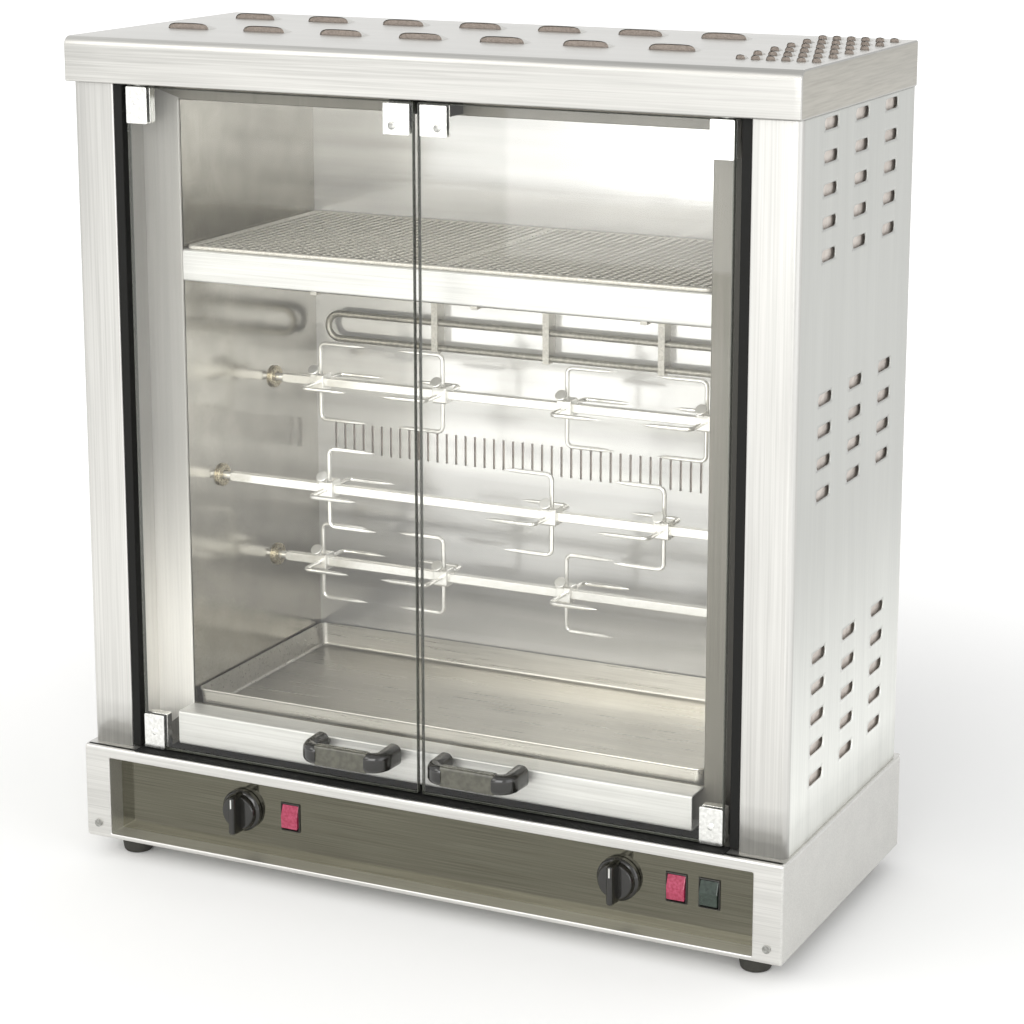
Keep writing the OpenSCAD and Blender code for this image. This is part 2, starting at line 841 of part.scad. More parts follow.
module spit_bushes() {
    color("#B08D4F") at_spits() difference() {
        union() {
            bar_x(bush_flange_r, -chamber_x, -chamber_x + bush_flange_t);
            bar_x(bush_barrel_r, -wall_out - bush_out, -chamber_x);
        }
        bar_x(spit_pin_r + running, -wall_out - bush_out - 1, -chamber_x + bush_flange_t + 1);
    }
}

module gearmotors() {
    color(zinc) at_spits() difference() {
        union() {
            slab([wall_out, wall_out + gearbox_t], [-gearbox_y / 2, gearbox_y / 2],
                 [-gearbox_z / 2, gearbox_z / 2]);
            bar_x(motor_r, wall_out + gearbox_t, wall_out + gearbox_t + motor_l);
        }
        bar_x(journal_r + running, wall_out - 1, wall_out + journal_l + 1);
    }
}

module spit(place) {
    h = spit_side / 2;
    color(bright) translate([0, place[0], place[1]]) {
        slab([bar_x0, bar_x1], [-h, h], [-h, h]);
        bar_x(spit_pin_r, -wall_out - bush_out + 2, bar_x0);
    }
}

module socket(place) {
    h = spit_side / 2 + running;
    color(zinc) translate([0, place[0], place[1]]) difference() {
        union() {
            bar_x(socket_r, socket_x0, socket_x1);
            bar_x(journal_r, socket_x1, wall_out + journal_l);
        }
        slab([socket_x0 - 1, socket_x0 + socket_bore], [-h, h], [-h, h]);
    }
}

// One fork: hub, four arms and their prongs, and the thumb screw that clamps it
module fork(x, dir) {
    h = spit_side / 2 + slip;
    shaft_l = prong_l - prong_point;
    translate([x, 0, 0]) {
        difference() {
            union() {
                slab([-hub_l / 2, hub_l / 2], [-hub / 2, hub / 2], [-hub / 2, hub / 2]);
                for (a = [0:90:270]) rotate([a, 0, 0]) {
                    translate([0, 0, hub / 2 - 1]) cylinder(r = prong_r, h = fork_reach - hub / 2 + 1);
                    translate([0, 0, fork_reach]) sphere(prong_r);
                    translate([0, 0, fork_reach]) rotate([0, dir * 90, 0]) {
                        cylinder(r = prong_r, h = shaft_l);
                        translate([0, 0, shaft_l]) cylinder(r1 = prong_r, r2 = prong_tip_r, h = prong_point);
                    }
                }
            }
            slab([-hub_l, hub_l], [-h, h], [-h, h]);
            rotate([45, 0, 0]) cylinder(r = thumb_pin_r + running, h = hub);
        }
        rotate([45, 0, 0]) translate([0, 0, thumb_seat]) {
            cylinder(r = thumb_pin_r, h = thumb_l);
            translate([0, 0, thumb_l]) cylinder(r = thumb_r, h = thumb_h);
        }
    }
}

module fork_set(place, forks) {
    color(satin) translate([0, place[0], place[1]]) for (f = forks) fork(f[0] * chamber_x, f[1]);
}

module upper_spit() { spit(spit_places[0]); }
module middle_spit() { spit(spit_places[1]); }
module lower_spit() { spit(spit_places[2]); }
module upper_forks() { fork_set(spit_places[0], upper_fork_places); }
module middle_forks() { fork_set(spit_places[1], middle_fork_places); }
module lower_forks() { fork_set(spit_places[2], lower_fork_places); }
module upper_socket() { socket(spit_places[0]); }
module middle_socket() { socket(spit_places[1]); }
module lower_socket() { socket(spit_places[2]); }

// ---- Doors, drawn for the right side and mirrored for the left ----

catch_x = glass_x0 + catch_in + catch_w / 2;
catch_z = glass_z1 - 2 - catch_h / 2;

module glass() {
    color(smoked) difference() {
        slab([glass_x0, glass_x1], [cab_y0, glass_back], [glass_z0, glass_z1]);
        for (k = [0, 1]) translate([post_x + k * handle_span, 0, handle_z])
            bar_y(screw_r + slip, cab_y0 - 1, glass_back + 1);
        for (z = [glass_z0 + plate_h / 2, glass_z1 - plate_h / 2])
            translate([glass_x1 - plate_w / 2, 0, z]) bar_y(stud_r + slip, cab_y0 - 1, glass_back + 1);
        translate([catch_x + catch_stud_out, 0, catch_z - catch_stud_drop])
            bar_y(catch_stud_r + slip, cab_y0 - 1, glass_back + 1);
    }
}

// A hinge plate clamped on the glass; its block holds the pin's bore
module hinge_plate(z0, pin_z) {
    difference() {
        union() {
            slab([glass_x1 - plate_w, glass_x1], [cab_y0 - plate_t, cab_y0], [z0, z0 + plate_h]);
            translate([glass_x1 - plate_w / 2, 0, z0 + plate_h / 2])
                bar_y(stud_r, cab_y0 - 1, glass_back + 1);
            slab([glass_x1 - plate_w, glass_x1], [glass_back, glass_back + block_t], [z0, z0 + plate_h]);
        }
        translate([pivot_x, pivot_y, pin_z]) cylinder(r = pin_r + running, h = pin_depth + 2);
    }
}

module hinge_plates() {
    color(bright) {
        hinge_plate(glass_z0, glass_z0 - 1);
        hinge_plate(glass_z1 - plate_h, glass_z1 - pin_depth - 1);
    }
}

module catch_plate() {
    color(bright) translate([catch_x, 0, catch_z]) {
        slab([-catch_w / 2, catch_w / 2], [cab_y0 - plate_t, cab_y0], [-catch_h / 2, catch_h / 2]);
        translate([catch_stud_out, 0, -catch_stud_drop]) bar_y(catch_stud_r, cab_y0 - 1, glass_back + 1);
        slab([-catch_w / 2, catch_w / 2], [glass_back, glass_back + plate_t], [-catch_h / 2, catch_h / 2]);
    }
}

module handle() {
    color(black) translate([post_x, 0, handle_z]) difference() {
        union() {
            for (x = [0, handle_span]) translate([x, 0, 0]) {
                bar_y(post_r, grip_y, cab_y0);
                translate([0, grip_y, 0]) sphere(grip_r);
            }
            translate([0, grip_y, 0]) bar_x(grip_r, 0, handle_span);
        }
        for (x = [0, handle_span]) translate([x, 0, 0])
            bar_y(screw_r + running, cab_y0 - screw_depth, cab_y0 + 1);
    }
}

module handle_screws() {
    color(zinc) for (x = [post_x, post_x + handle_span]) translate([x, 0, handle_z]) {
        bar_y(screw_r, cab_y0 - screw_depth + 1, glass_back + 0.5);
        bar_y(screw_head_r, glass_back, glass_back + screw_head_t);
    }
}

module left_glass() { mirror([1, 0, 0]) glass(); }
module left_hinge_plates() { mirror([1, 0, 0]) hinge_plates(); }
module left_catch_plate() { mirror([1, 0, 0]) catch_plate(); }
module left_handle() { mirror([1, 0, 0]) handle(); }
module left_handle_screws() { mirror([1, 0, 0]) handle_screws(); }
module right_glass() { glass(); }
module right_hinge_plates() { hinge_plates(); }
module right_catch_plate() { catch_plate(); }
module right_handle() { handle(); }
module right_handle_screws() { handle_screws(); }

module hinge_pins() {
    flange_r = pin_r + 5;
    flange_t = gap_end - seat;
    color(zinc) for (s = [-1, 1]) {
        translate([s * pivot_x, pivot_y, base_top]) cylinder(r = flange_r, h = flange_t);
        translate([s * pivot_x, pivot_y, base_top]) cylinder(r = pin_r, h = gap_end + pin_depth - 1);
        translate([s * pivot_x, pivot_y, cab_top - flange_t]) cylinder(r = flange_r, h = flange_t);
        translate([s * pivot_x, pivot_y, cab_top - gap_end - pin_depth + 1])
            cylinder(r = pin_r, h = gap_end + pin_depth - 1);
    }
}

module door_magnets() {
    color(black) for (s = [-1, 1])
        slab([s * catch_x - magnet_w / 2, s * catch_x + magnet_w / 2],
             [glass_back + plate_t + seat, frame_y], [ceiling_z + 2, cab_top - 2]);
}

// Side strips close the gap beside each glass, and a flat strip lies under the doors
module door_seals() {
    pin_clear = pin_r + 7;
    color(black) {
        for (s = [0, 1]) mirror([s, 0, 0])
            slab([seal_x0, column_x], [seal_y0, frame_y], [base_top, cab_top]);
        slab([-seal_x0, seal_x0], [front_y + sheet + 1, pivot_y - pin_clear],
             [base_top, base_top + sill_seal_t]);
        slab([-pivot_x + pin_clear, pivot_x - pin_clear], [pivot_y - pin_clear, sill_y - 1],
             [base_top, base_top + sill_seal_t]);
    }
}

// ---- Controls ----

module thermostats() {
    color(zinc) for (x = [-knob_left, knob_right]) translate([x, 0, control_z]) {
        bar_y(thermostat_r, panel_y + panel_t, panel_y + panel_t + thermostat_l);
        bar_y(spindle_r, panel_y - knob_gap - knob_bore + 1, panel_y + panel_t + 1);
    }
}

module knob(x) {
    y0 = panel_y - knob_gap;
    color(black) translate([x, 0, control_z]) difference() {
        union() {
            bar_y(knob_r, y0 - knob_skirt, y0);
            bar_y(knob_r * 0.84, y0 - knob_skirt - 4, y0 - knob_skirt);
            intersection() {
                slab([-knob_bar / 2, knob_bar / 2], [y0 - knob_h, y0 - knob_skirt], [-knob_r, knob_r]);
                bar_y(knob_r, y0 - knob_h, y0 - knob_skirt);
            }
        }
        bar_y(spindle_r + running, y0 - knob_bore, y0 + 1);
    }
}
module left_knob() { knob(-knob_left); }
module right_knob() { knob(knob_right); }

// The bezel's front stands bezel_t before the panel; the rocker's axis lies rocker_pivot behind the panel
module switch_bezels() {
    hx = pocket_w / 2;
    hz = pocket_h / 2;
    color(black) for (x = switch_places) translate([x, panel_y, control_z]) difference() {
        union() {
            slab([-hx - bezel_rim, hx + bezel_rim], [-bezel_t, 0], [-hz - bezel_rim, hz + bezel_rim]);
            slab([-hx - bezel_wall, hx + bezel_wall], [-bezel_t, bezel_depth],
                 [-hz - bezel_wall, hz + bezel_wall]);
        }
        slab([-hx, hx], [-bezel_t - 1, bezel_depth - bezel_wall], [-hz, hz]);
        translate([0, rocker_pivot, 0])
          bar_x(trunnion_r + running, -hx - bezel_wall - 1, hx + bezel_wall + 1);
    }
}

// A rocker's side view about its axis, with its ridge in front
rocker_side = [
    [-rocker_pivot - rocker_tip, rocker_h / 2], [-rocker_pivot - rocker_ridge, 0],
    [-rocker_pivot - rocker_tip, -rocker_h / 2], [2, -rocker_h * 0.33], [2, rocker_h * 0.33]
];

module rocker(x, tone) {
    color(tone) translate([x, panel_y + rocker_pivot, control_z]) rotate([-rocker_tilt / 2, 0, 0]) {
        along_x(-rocker_w / 2, rocker_w / 2) polygon(rocker_side);
        bar_x(trunnion_r, -rocker_w / 2 - bezel_wall, rocker_w / 2 + bezel_wall);
    }
}
module left_rocker() { rocker(switch_places[0], red); }
module right_rocker() { rocker(switch_places[1], red); }
module dark_rocker() { rocker(switch_places[2], green); }

// ---- Screws of the housing ----

module screw_cap_front(x, y, z) {
    translate([x, 0, z]) difference() {
        bar_y(screw_cap_r, y - screw_cap_t, y);
        slab([-screw_cap_r, screw_cap_r], [y - screw_cap_t - 1, y - screw_cap_t * 0.6], [-0.6, 0.6]);
    }
}
module screw_cap_back(x, y, z) {
    translate([x, 0, z]) difference() {
        bar_y(screw_cap_r, y, y + screw_cap_t);
        slab([-screw_cap_r, screw_cap_r], [y + screw_cap_t * 0.6, y + screw_cap_t + 1], [-0.6, 0.6]);
    }
}

module panel_screws() {
    rim_x = base_w / 2 - rim_side / 2;
    side_x = cab_x - back_flange / 2 - side_t;
    color(zinc) {
        for (s = [-1, 1]) screw_cap_front(s * rim_x, front_y, base_z + rim_screw_rise);
        for (s = [-1, 1], f = [0.06, 0.5, 0.94])
            screw_cap_back(s * side_x, cab_y1, base_top + cab_h * f);
        for (s = [-1, 1], z = [cover_z + cover_screw_in, cover_z + cover_h - cover_screw_in])
            screw_cap_back(cover_x + s * (cover_w / 2 - cover_screw_in), cab_y1 + side_t, z);
    }
}

base_shell();
base_front();
base_deck();
control_panel();
feet();
foot_bolts();
left_side_panel();
right_side_panel();
back_panel();
service_cover();
cable_gland();
terminal_block();
top_cap();
opening_frame();
cavity_left_wall();
cavity_right_wall();
cavity_back_wall();
cavity_floor();
cavity_ceiling();
shelf_divider();
shelf_rail();
warming_shelf();
drip_tray();
front_sill();
heating_elements();
element_clips();
spit_bushes();
gearmotors();
thermostats();
switch_bezels();
hinge_pins();
door_magnets();
door_seals();
panel_screws();
left_glass();
left_hinge_plates();
left_catch_plate();
left_handle();
left_handle_screws();
right_glass();
right_hinge_plates();
right_catch_plate();
right_handle();
right_handle_screws();
left_knob();
right_knob();
left_rocker();
right_rocker();
dark_rocker();
upper_spit();
upper_forks();
upper_socket();
middle_spit();
middle_forks();
middle_socket();
lower_spit();
lower_forks();
lower_socket();
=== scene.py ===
import math

import bmesh
import bpy
import numpy as np
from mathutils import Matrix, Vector


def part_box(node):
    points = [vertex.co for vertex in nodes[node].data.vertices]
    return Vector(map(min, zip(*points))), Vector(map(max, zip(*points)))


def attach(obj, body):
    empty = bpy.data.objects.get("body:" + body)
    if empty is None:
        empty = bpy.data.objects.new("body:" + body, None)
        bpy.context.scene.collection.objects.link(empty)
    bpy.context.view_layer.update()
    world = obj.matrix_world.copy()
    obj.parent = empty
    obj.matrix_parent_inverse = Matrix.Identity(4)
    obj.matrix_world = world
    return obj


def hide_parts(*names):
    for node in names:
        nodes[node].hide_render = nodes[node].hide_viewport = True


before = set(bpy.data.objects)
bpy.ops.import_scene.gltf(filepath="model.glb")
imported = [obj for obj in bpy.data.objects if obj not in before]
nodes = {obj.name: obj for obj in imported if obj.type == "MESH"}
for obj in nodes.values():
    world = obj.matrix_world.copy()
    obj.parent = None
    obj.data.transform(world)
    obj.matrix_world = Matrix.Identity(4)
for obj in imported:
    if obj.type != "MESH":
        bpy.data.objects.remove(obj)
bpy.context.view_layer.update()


# shapes are worked out in millimetres and scaled once, when the mesh is made
def cad(node):
    low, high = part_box(node)
    return np.array(low) * 1000, np.array(high) * 1000


def rightBox(node):
    # doors and side panels are drawn on the right: the box of a left-hand node comes back mirrored
    low, high = cad(node)
    if node.startswith("left"):
        low[0], high[0] = -high[0], -low[0]
    return low, high


def toLinear(code):
    # sRGB hex to linear light, with full alpha
    value = [int(code[i:i + 2], 16) / 255 for i in (1, 3, 5)]
    return [c / 12.92 if c <= 0.04045 else ((c + 0.055) / 1.055) ** 2.4 for c in value] + [1.0]


def addNode(tree, kind, inputs={}, **settings):
    # an input is a value, a socket, or a node that stands for its first output
    node = tree.nodes.new("ShaderNode" + kind)
    for key, value in settings.items():
        setattr(node, key, value)
    for key, value in inputs.items():
        if isinstance(value, bpy.types.Node):
            value = value.outputs[0]
        if isinstance(value, bpy.types.NodeSocket):
            tree.links.new(value, node.inputs[key])
        else:
            node.inputs[key].default_value = value
    return node


def addObject(name, data):
    thing = bpy.data.objects.new(name, data)
    bpy.context.scene.collection.objects.link(thing)
    return thing


def arc(start, end, count):
    return np.radians(np.linspace(start, end, count))


def gridFaces(rows, columns, wrapRows=False, wrapColumns=False):
    # quads between neighbours on a grid of points, closed round where asked
    i = np.arange(rows if wrapRows else rows - 1)[:, None]
    j = np.arange(columns if wrapColumns else columns - 1)[None, :]
    nextI, nextJ = (i + 1) % rows, (j + 1) % columns
    corners = np.broadcast_arrays(i * columns + j, i * columns + nextJ,
                                  nextI * columns + nextJ, nextI * columns + j)
    return np.stack(corners, -1).reshape(-1, 4)


def loft(rings, ringed=False, finish=0):
    # skin over rings of equal length, with a flat lid at both ends unless the rings close on themselves
    count, size = rings.shape[:2]
    faces = gridFaces(count, size, ringed, True).tolist()
    if not ringed:
        faces += [list(range(size)), list(range((count - 1) * size, count * size))]
    return rings.reshape(-1, 3), faces, finish


def roundedRects(table, steps=4):
    # rows are low a, high a, low b, high b, radius: quarter turns about four centres set in from the corners
    lowA, highA, lowB, highB, radius = np.array(table, float).T[:, :, None, None]
    quarter = np.arange(4)[None, :, None]
    turn = np.radians(quarter * 90 + np.linspace(0, 90, steps + 1)[None, None, :])
    isHighA, isHighB = np.isin(quarter, (0, 3)), quarter < 2
    a = np.where(isHighA, highA - radius, lowA + radius) + radius * np.cos(turn)
    b = np.where(isHighB, highB - radius, lowB + radius) + radius * np.sin(turn)
    return np.stack([a, b], -1).reshape(len(table), -1, 2)


def facing(flat, along, axis):
    # puts a drawing (a, b) and its place along an axis into x, y, z
    along = np.broadcast_to(np.asarray(along, float), flat.shape[:-1])
    order = {0: (along, flat[..., 0], flat[..., 1]), 1: (flat[..., 0], along, flat[..., 1]),
             2: (flat[..., 0], flat[..., 1], along)}[axis]
    return np.stack(order, -1)


def rim(box, out, radius, place):
    # a row for ringSolid: the box (low a, high a, low b, high b) grown by out on every side
    return [box[0] - out, box[1] + out, box[2] - out, box[3] + out, radius, place]


def foldIn(box, bend, corner, front):
    # rows of a bend from a face back into an opening: out = bend * (1 - sine), depth = bend * (1 - cosine)
    return [rim(box, bend * (1 - math.sin(t)), corner + bend * (1 - math.sin(t)),
                front + bend * (1 - math.cos(t))) for t in arc(0, 90, 6)]


def ringSolid(table, axis, ringed=False, steps=4, finish=0):
    # rows are low a, high a, low b, high b, radius, place along the axis
    table = np.array(table, float)
    flat = roundedRects(table[:, :5], steps)
    return loft(facing(flat, table[:, 5][:, None], axis), ringed, finish)


def slab(low, high, axis=2, edge=0.5, corner=1.0, steps=3, finish=0):
    # a plate whose outline shrinks by edge * (1 - sine) towards each face, so its rims are quarter rounds
    a, b = [k for k in range(3) if k != axis]
    turn = np.linspace(0, np.pi / 2, steps + 1)
    inset = edge * (1 - np.sin(turn))
    rise = edge * (1 - np.cos(turn))
    inset = np.concatenate([inset, inset[::-1]])
    place = np.concatenate([low[axis] + rise, high[axis] - rise[::-1]])
    radius = np.maximum(corner - inset, 0.02)
    table = np.stack([low[a] + inset, high[a] - inset, low[b] + inset, high[b] - inset, radius, place], -1)
    return ringSolid(table, axis, finish=finish)


def turned(profile, centre, axis, segments=40, finish=0):
    # rows are place along the axis and radius, spun once round; a radius of 0 closes to a point
    profile = np.array(profile, float)
    turn = np.linspace(0, 2 * np.pi, segments, endpoint=False)
    flat = profile[:, 1][:, None, None] * np.stack([np.cos(turn), np.sin(turn)], -1)[None]
    ring = facing(flat, profile[:, 0][:, None], axis)
    return loft(ring + np.array(centre, float), finish=finish)


def bentPath(points, radius, steps=8):
    # straight runs joined by quarter rounds: corner - r * (1 - sine) back, + r * (1 - cosine) on
    points = np.array(points, float)
    before = points[1:-1] - points[:-2]
    after = points[2:] - points[1:-1]
    before /= np.linalg.norm(before, axis=1, keepdims=True)
    after /= np.linalg.norm(after, axis=1, keepdims=True)
    turn = np.linspace(0, np.pi / 2, steps)[None, :, None]
    corner = points[1:-1, None] - before[:, None] * radius * (1 - np.sin(turn))
    corner = corner + after[:, None] * radius * (1 - np.cos(turn))
    return np.concatenate([points[:1], corner.reshape(-1, points.shape[1]), points[-1:]])


def sweep(path, normal, section, scale=None, ringed=False, finish=0):
    # section (a, b) carried along a path in one plane: a lies across the path, b along the plane's normal
    path, normal = np.array(path, float), np.array(normal, float)
    ahead = np.roll(path, -1, 0) - np.roll(path, 1, 0) if ringed else np.gradient(path, axis=0)
    ahead /= np.linalg.norm(ahead, axis=1, keepdims=True)
    side = np.cross(normal, ahead)
    scale = np.ones(len(path)) if scale is None else np.array(scale, float)
    a, b = section[:, 0][None, :, None], section[:, 1][None, :, None]
    rings = path[:, None] + scale[:, None, None] * (a * side[:, None] + b * normal)
    return loft(rings, ringed, finish)


def circle(radius, count=12):
    turn = np.linspace(0, 2 * np.pi, count, endpoint=False)
    return radius * np.stack([np.cos(turn), np.sin(turn)], -1)


def sheetSection(points, thickness, radius, steps=5):
    # a bent strip seen from its end: its middle line moved out and back by half the thickness
    line = bentPath(points, radius, steps)
    ahead = np.gradient(line, axis=0)
    ahead /= np.linalg.norm(ahead, axis=1, keepdims=True)
    side = np.stack([-ahead[:, 1], ahead[:, 0]], -1) * thickness / 2
    return np.concatenate([line + side, (line - side)[::-1]])


def along(section, axis, start, end):
    # the same section at both ends of a straight run
    return loft(facing(np.stack([section, section]), np.array([start, end])[:, None], axis))


def turnPart(part, axis, degrees, centre):
    # turns a finished part about a line through centre
    c, s = math.cos(math.radians(degrees)), math.sin(math.radians(degrees))
    a, b = [k for k in range(3) if k != axis]
    rotate = np.eye(3)
    rotate[a, a], rotate[a, b], rotate[b, a], rotate[b, b] = c, -s, s, c
    centre = np.array(centre, float)
    return (part[0] - centre) @ rotate.T + centre, part[1], part[2]


def mirrored(parts):
    # the same parts on the other side of the middle plane
    return [(part[0] * np.array([-1.0, 1.0, 1.0]), part[1], part[2]) for part in parts]


def makePiece(name, parts, finishes, body, stands=(), crease=32, closed=True):
    points, faces, slots, start = [], [], [], 0
    for spots, polygons, finish in parts:
        points.append(np.asarray(spots, float).reshape(-1, 3))
        faces += [[k + start for k in polygon] for polygon in polygons]
        slots += [finish] * len(polygons) if isinstance(finish, int) else finish
        start += len(points[-1])
    mesh = bpy.data.meshes.new(name)
    mesh.from_pydata((np.concatenate(points) * 0.001).tolist(), [], faces)
    mesh.polygons.foreach_set("material_index", np.array(slots, np.int32))
    if closed:
        shape = bmesh.new()
        shape.from_mesh(mesh)
        bmesh.ops.remove_doubles(shape, verts=shape.verts, dist=2e-6)
        bmesh.ops.recalc_face_normals(shape, faces=shape.faces)
        shape.to_mesh(mesh)
        shape.free()
    mesh.shade_smooth()
    mesh.set_sharp_from_angle(angle=math.radians(crease))
    for finish in finishes:
        mesh.materials.append(finish)
    thing = addObject(name, mesh)
    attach(thing, body)
    if closed:
        # flat faces keep their own normal beside small bends
        flat = thing.modifiers.new("normals", "WEIGHTED_NORMAL")
        flat.keep_sharp = True
    if stands:
        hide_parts(*stands)
    return thing


cameraView = {
    "place": (1.3443, -2.6954, 1.2090),
    "yaw": 25.933,
    "pitch": 12.674,
    "lens": 98.44,
    "sensor": 36.0,
    "shift": -0.10,
    "reach": 60.0,
}

cameraData = bpy.data.cameras.new("camera")
cameraData.lens = cameraView["lens"]
cameraData.sensor_width = cameraView["sensor"]
cameraData.shift_y = cameraView["shift"]
cameraData.clip_end = cameraView["reach"]
camera = addObject("camera", cameraData)
camera.location = cameraView["place"]
camera.rotation_euler = (math.radians(90 - cameraView["pitch"]), 0.0, math.radians(cameraView["yaw"]))
bpy.context.scene.camera = camera
bpy.context.scene.view_settings.view_transform = "Standard"

# lamp rows are name, place, aim, size, power, colour; lengths here are in metres
studio = {
    "backdrop": "#FFFFFF",
    "skyLevel": 0.78,
    "mirrorLevel": 1.0,
    "floorColour": "#F7F7F6",
    "floorLift": 0.55,
    "liftStart": 0.45,
    "liftEnd": 2.3,
    "floorReach": 24.0,
    "lamps": (
        ("keySoftbox", (-1.9, -2.9, 2.7), (0, 0, 0.45), (2.6, 2.0), 38.0, "#FFFDF8"),
        ("frontSoftbox", (0.75, -3.3, 1.5), (0, 0, 0.5), (2.6, 2.0), 66.0, "#FFFFFF"),
        ("lowCard", (-0.98, -3.3, 0.48), (-0.98, 0, 0.48), (0.9, 0.66), 4.0, "#FFFFFF"),
        ("fillSoftbox", (2.9, -0.9, 1.0), (0, 0, 0.45), (2.0, 2.0), 17.0, "#FBFCFF"),
    ),
}


def setWorld():
    # plain grey-white light all round, and full white where the camera, a gloss or a pane looks out at it
    world = bpy.data.worlds.new("studio")
    bpy.context.scene.world = world
    world.use_nodes = True
    tree = world.node_tree
    tree.nodes.clear()
    rays = addNode(tree, "LightPath").outputs
    mirrors = addNode(tree, "Math", {0: rays["Is Glossy Ray"], 1: rays["Is Transmission Ray"]},
                      operation="MAXIMUM")
    level = addNode(tree, "MapRange", {"Value": mirrors, "To Min": studio["skyLevel"],
                                       "To Max": studio["mirrorLevel"]})
    seen = addNode(tree, "Mix", {"Factor": rays["Is Camera Ray"], "A": level, "B": 1.0}, data_type="FLOAT")
    glow = addNode(tree, "Background", {"Color": toLinear(studio["backdrop"]), "Strength": seen})
    addNode(tree, "OutputWorld", {"Surface": glow})


def addLamp(name, place, aim, size, power, colour):
    data = bpy.data.lights.new(name, "AREA")
    data.shape = "RECTANGLE"
    data.size, data.size_y = size
    data.energy = power
    data.color = toLinear(colour)[:3]
    lamp = addObject(name, data)
    lamp.location = place
    lamp.rotation_euler = (Vector(aim) - Vector(place)).to_track_quat("-Z", "Y").to_euler()


def startMaterial(name):
    material = bpy.data.materials.new(name)
    material.use_nodes = True
    tree = material.node_tree
    tree.nodes.clear()
    return material, tree


def makeFloor():
    # pale seamless floor; sight and mirror rays alone see a glow on it, which grows from liftStart to
    # liftEnd metres from its middle
    finish, tree = startMaterial("paintedFloor")
    rays = addNode(tree, "LightPath").outputs
    matt = addNode(tree, "BsdfDiffuse", {"Color": toLinear(studio["floorColour"])})
    place = addNode(tree, "TexCoord").outputs["Object"]
    reach = addNode(tree, "VectorMath", {0: place}, operation="LENGTH").outputs["Value"]
    fade = addNode(tree, "MapRange", {"Value": reach, "From Min": studio["liftStart"],
                                      "From Max": studio["liftEnd"], "To Min": 0.0,
                                      "To Max": studio["floorLift"]}, interpolation_type="SMOOTHSTEP")
    seen = addNode(tree, "Math", {0: rays["Is Camera Ray"], 1: rays["Is Glossy Ray"]}, operation="MAXIMUM")
    lift = addNode(tree, "Math", {0: fade, 1: seen}, operation="MULTIPLY")
    glow = addNode(tree, "Emission", {"Color": toLinear(studio["backdrop"]), "Strength": lift})
    addNode(tree, "OutputMaterial", {"Surface": addNode(tree, "AddShader", {0: matt, 1: glow})})
    span = studio["floorReach"]
    mesh = bpy.data.meshes.new("floor")
    mesh.from_pydata([(-span, -span, 0), (span, -span, 0), (span, span, 0), (-span, span, 0)], [],
                     [(0, 1, 2, 3)])
    mesh.materials.append(finish)
    floor = addObject("floor", mesh)


setWorld()
makeFloor()
for lamp in studio["lamps"]:
    addLamp(*lamp)
print("camera, floor and lamps set")


def toneRamp(tree, source, low, high, lowTone, highTone):
    node = addNode(tree, "ValToRGB", {"Fac": source})
    stops = node.color_ramp.elements
    stops[0].position, stops[1].position = low, high
    stops[0].color, stops[1].color = toLinear(lowTone), toLinear(highTone)
    return node


def remap(tree, source, low, high, start, end, **settings):
    # maps the source from low..high to start..end
    return addNode(tree, "MapRange", {"Value": source, "From Min": low, "From Max": high, "To Min": start,
                                      "To Max": end}, **settings)


def rolledSteel(name, base, lowTone, highTone, paintedLightFades=(), **changes):
    # sheet steel: drawn-out noise gives the grain, broad noise the rolling waves; the fades are painted light
    # and shade
    s = {**base, **changes}
    material, tree = startMaterial(name)
    place = addNode(tree, "TexCoord").outputs["Object"]
    grain = "xyz".index(s["grain"])
    # grain lines are grainMm apart across and streakMm long
    scale = [1000 / s["grainMm"]] * 3
    scale[grain] = 1000 / s["streakMm"]
    stretched = addNode(tree, "Mapping", {"Vector": place, "Scale": scale})
    lines = addNode(tree, "TexNoise", {"Vector": stretched, "Scale": 1.0, "Detail": 3.0, "Roughness": 0.6})
    waves = addNode(tree, "TexNoise", {"Vector": place, "Scale": 1000 / s["waveMm"], "Detail": 1.0})
    tone = toneRamp(tree, lines, 0.32, 0.62, lowTone, highTone)
    gloss = remap(tree, lines, 0.3, 0.7, *s["gloss"])
    height = addNode(tree, "Math", {0: waves, 1: s["waveDepth"], 2: lines}, operation="MULTIPLY_ADD")
    # slow bands, twelve times as long as wide, shift the tone as the rolling marks of thin sheet do
    slow = [1000 / s["bandMm"]] * 3
    slow[grain] = 1000 / (s["bandMm"] * 12)
    banded = addNode(tree, "Mapping", {"Vector": place, "Scale": slow})
    bands = addNode(tree, "TexNoise", {"Vector": banded, "Scale": 1.0, "Detail": 1.0})
    shade = remap(tree, bands, 0.35, 0.65, 1.0 - s["bandTone"], 1.0)
    bump = addNode(tree, "Bump", {"Strength": s["bump"], "Distance": 0.0004, "Height": height})
    for axis, start, end, toneStart, toneEnd in paintedLightFades:
        # painted light and shade: the tone changes along one axis, in metres: mix(toneStart, toneEnd,
        # smoothstep(start, end, place))
        spot = addNode(tree, "SeparateXYZ", {0: place}).outputs[axis]
        change = remap(tree, spot, start, end, toneStart, toneEnd, interpolation_type="SMOOTHSTEP")
        shade = addNode(tree, "Math", {0: shade, 1: change}, operation="MULTIPLY")
    colour = addNode(tree, "VectorMath", {0: tone, 1: shade}, operation="MULTIPLY")
    surface = addNode(tree, "BsdfPrincipled", {"Base Color": colour, "Roughness": gloss, "Normal": bump,
                                               "Metallic": s["metal"]})
    addNode(tree, "OutputMaterial", {"Surface": surface})
    return material


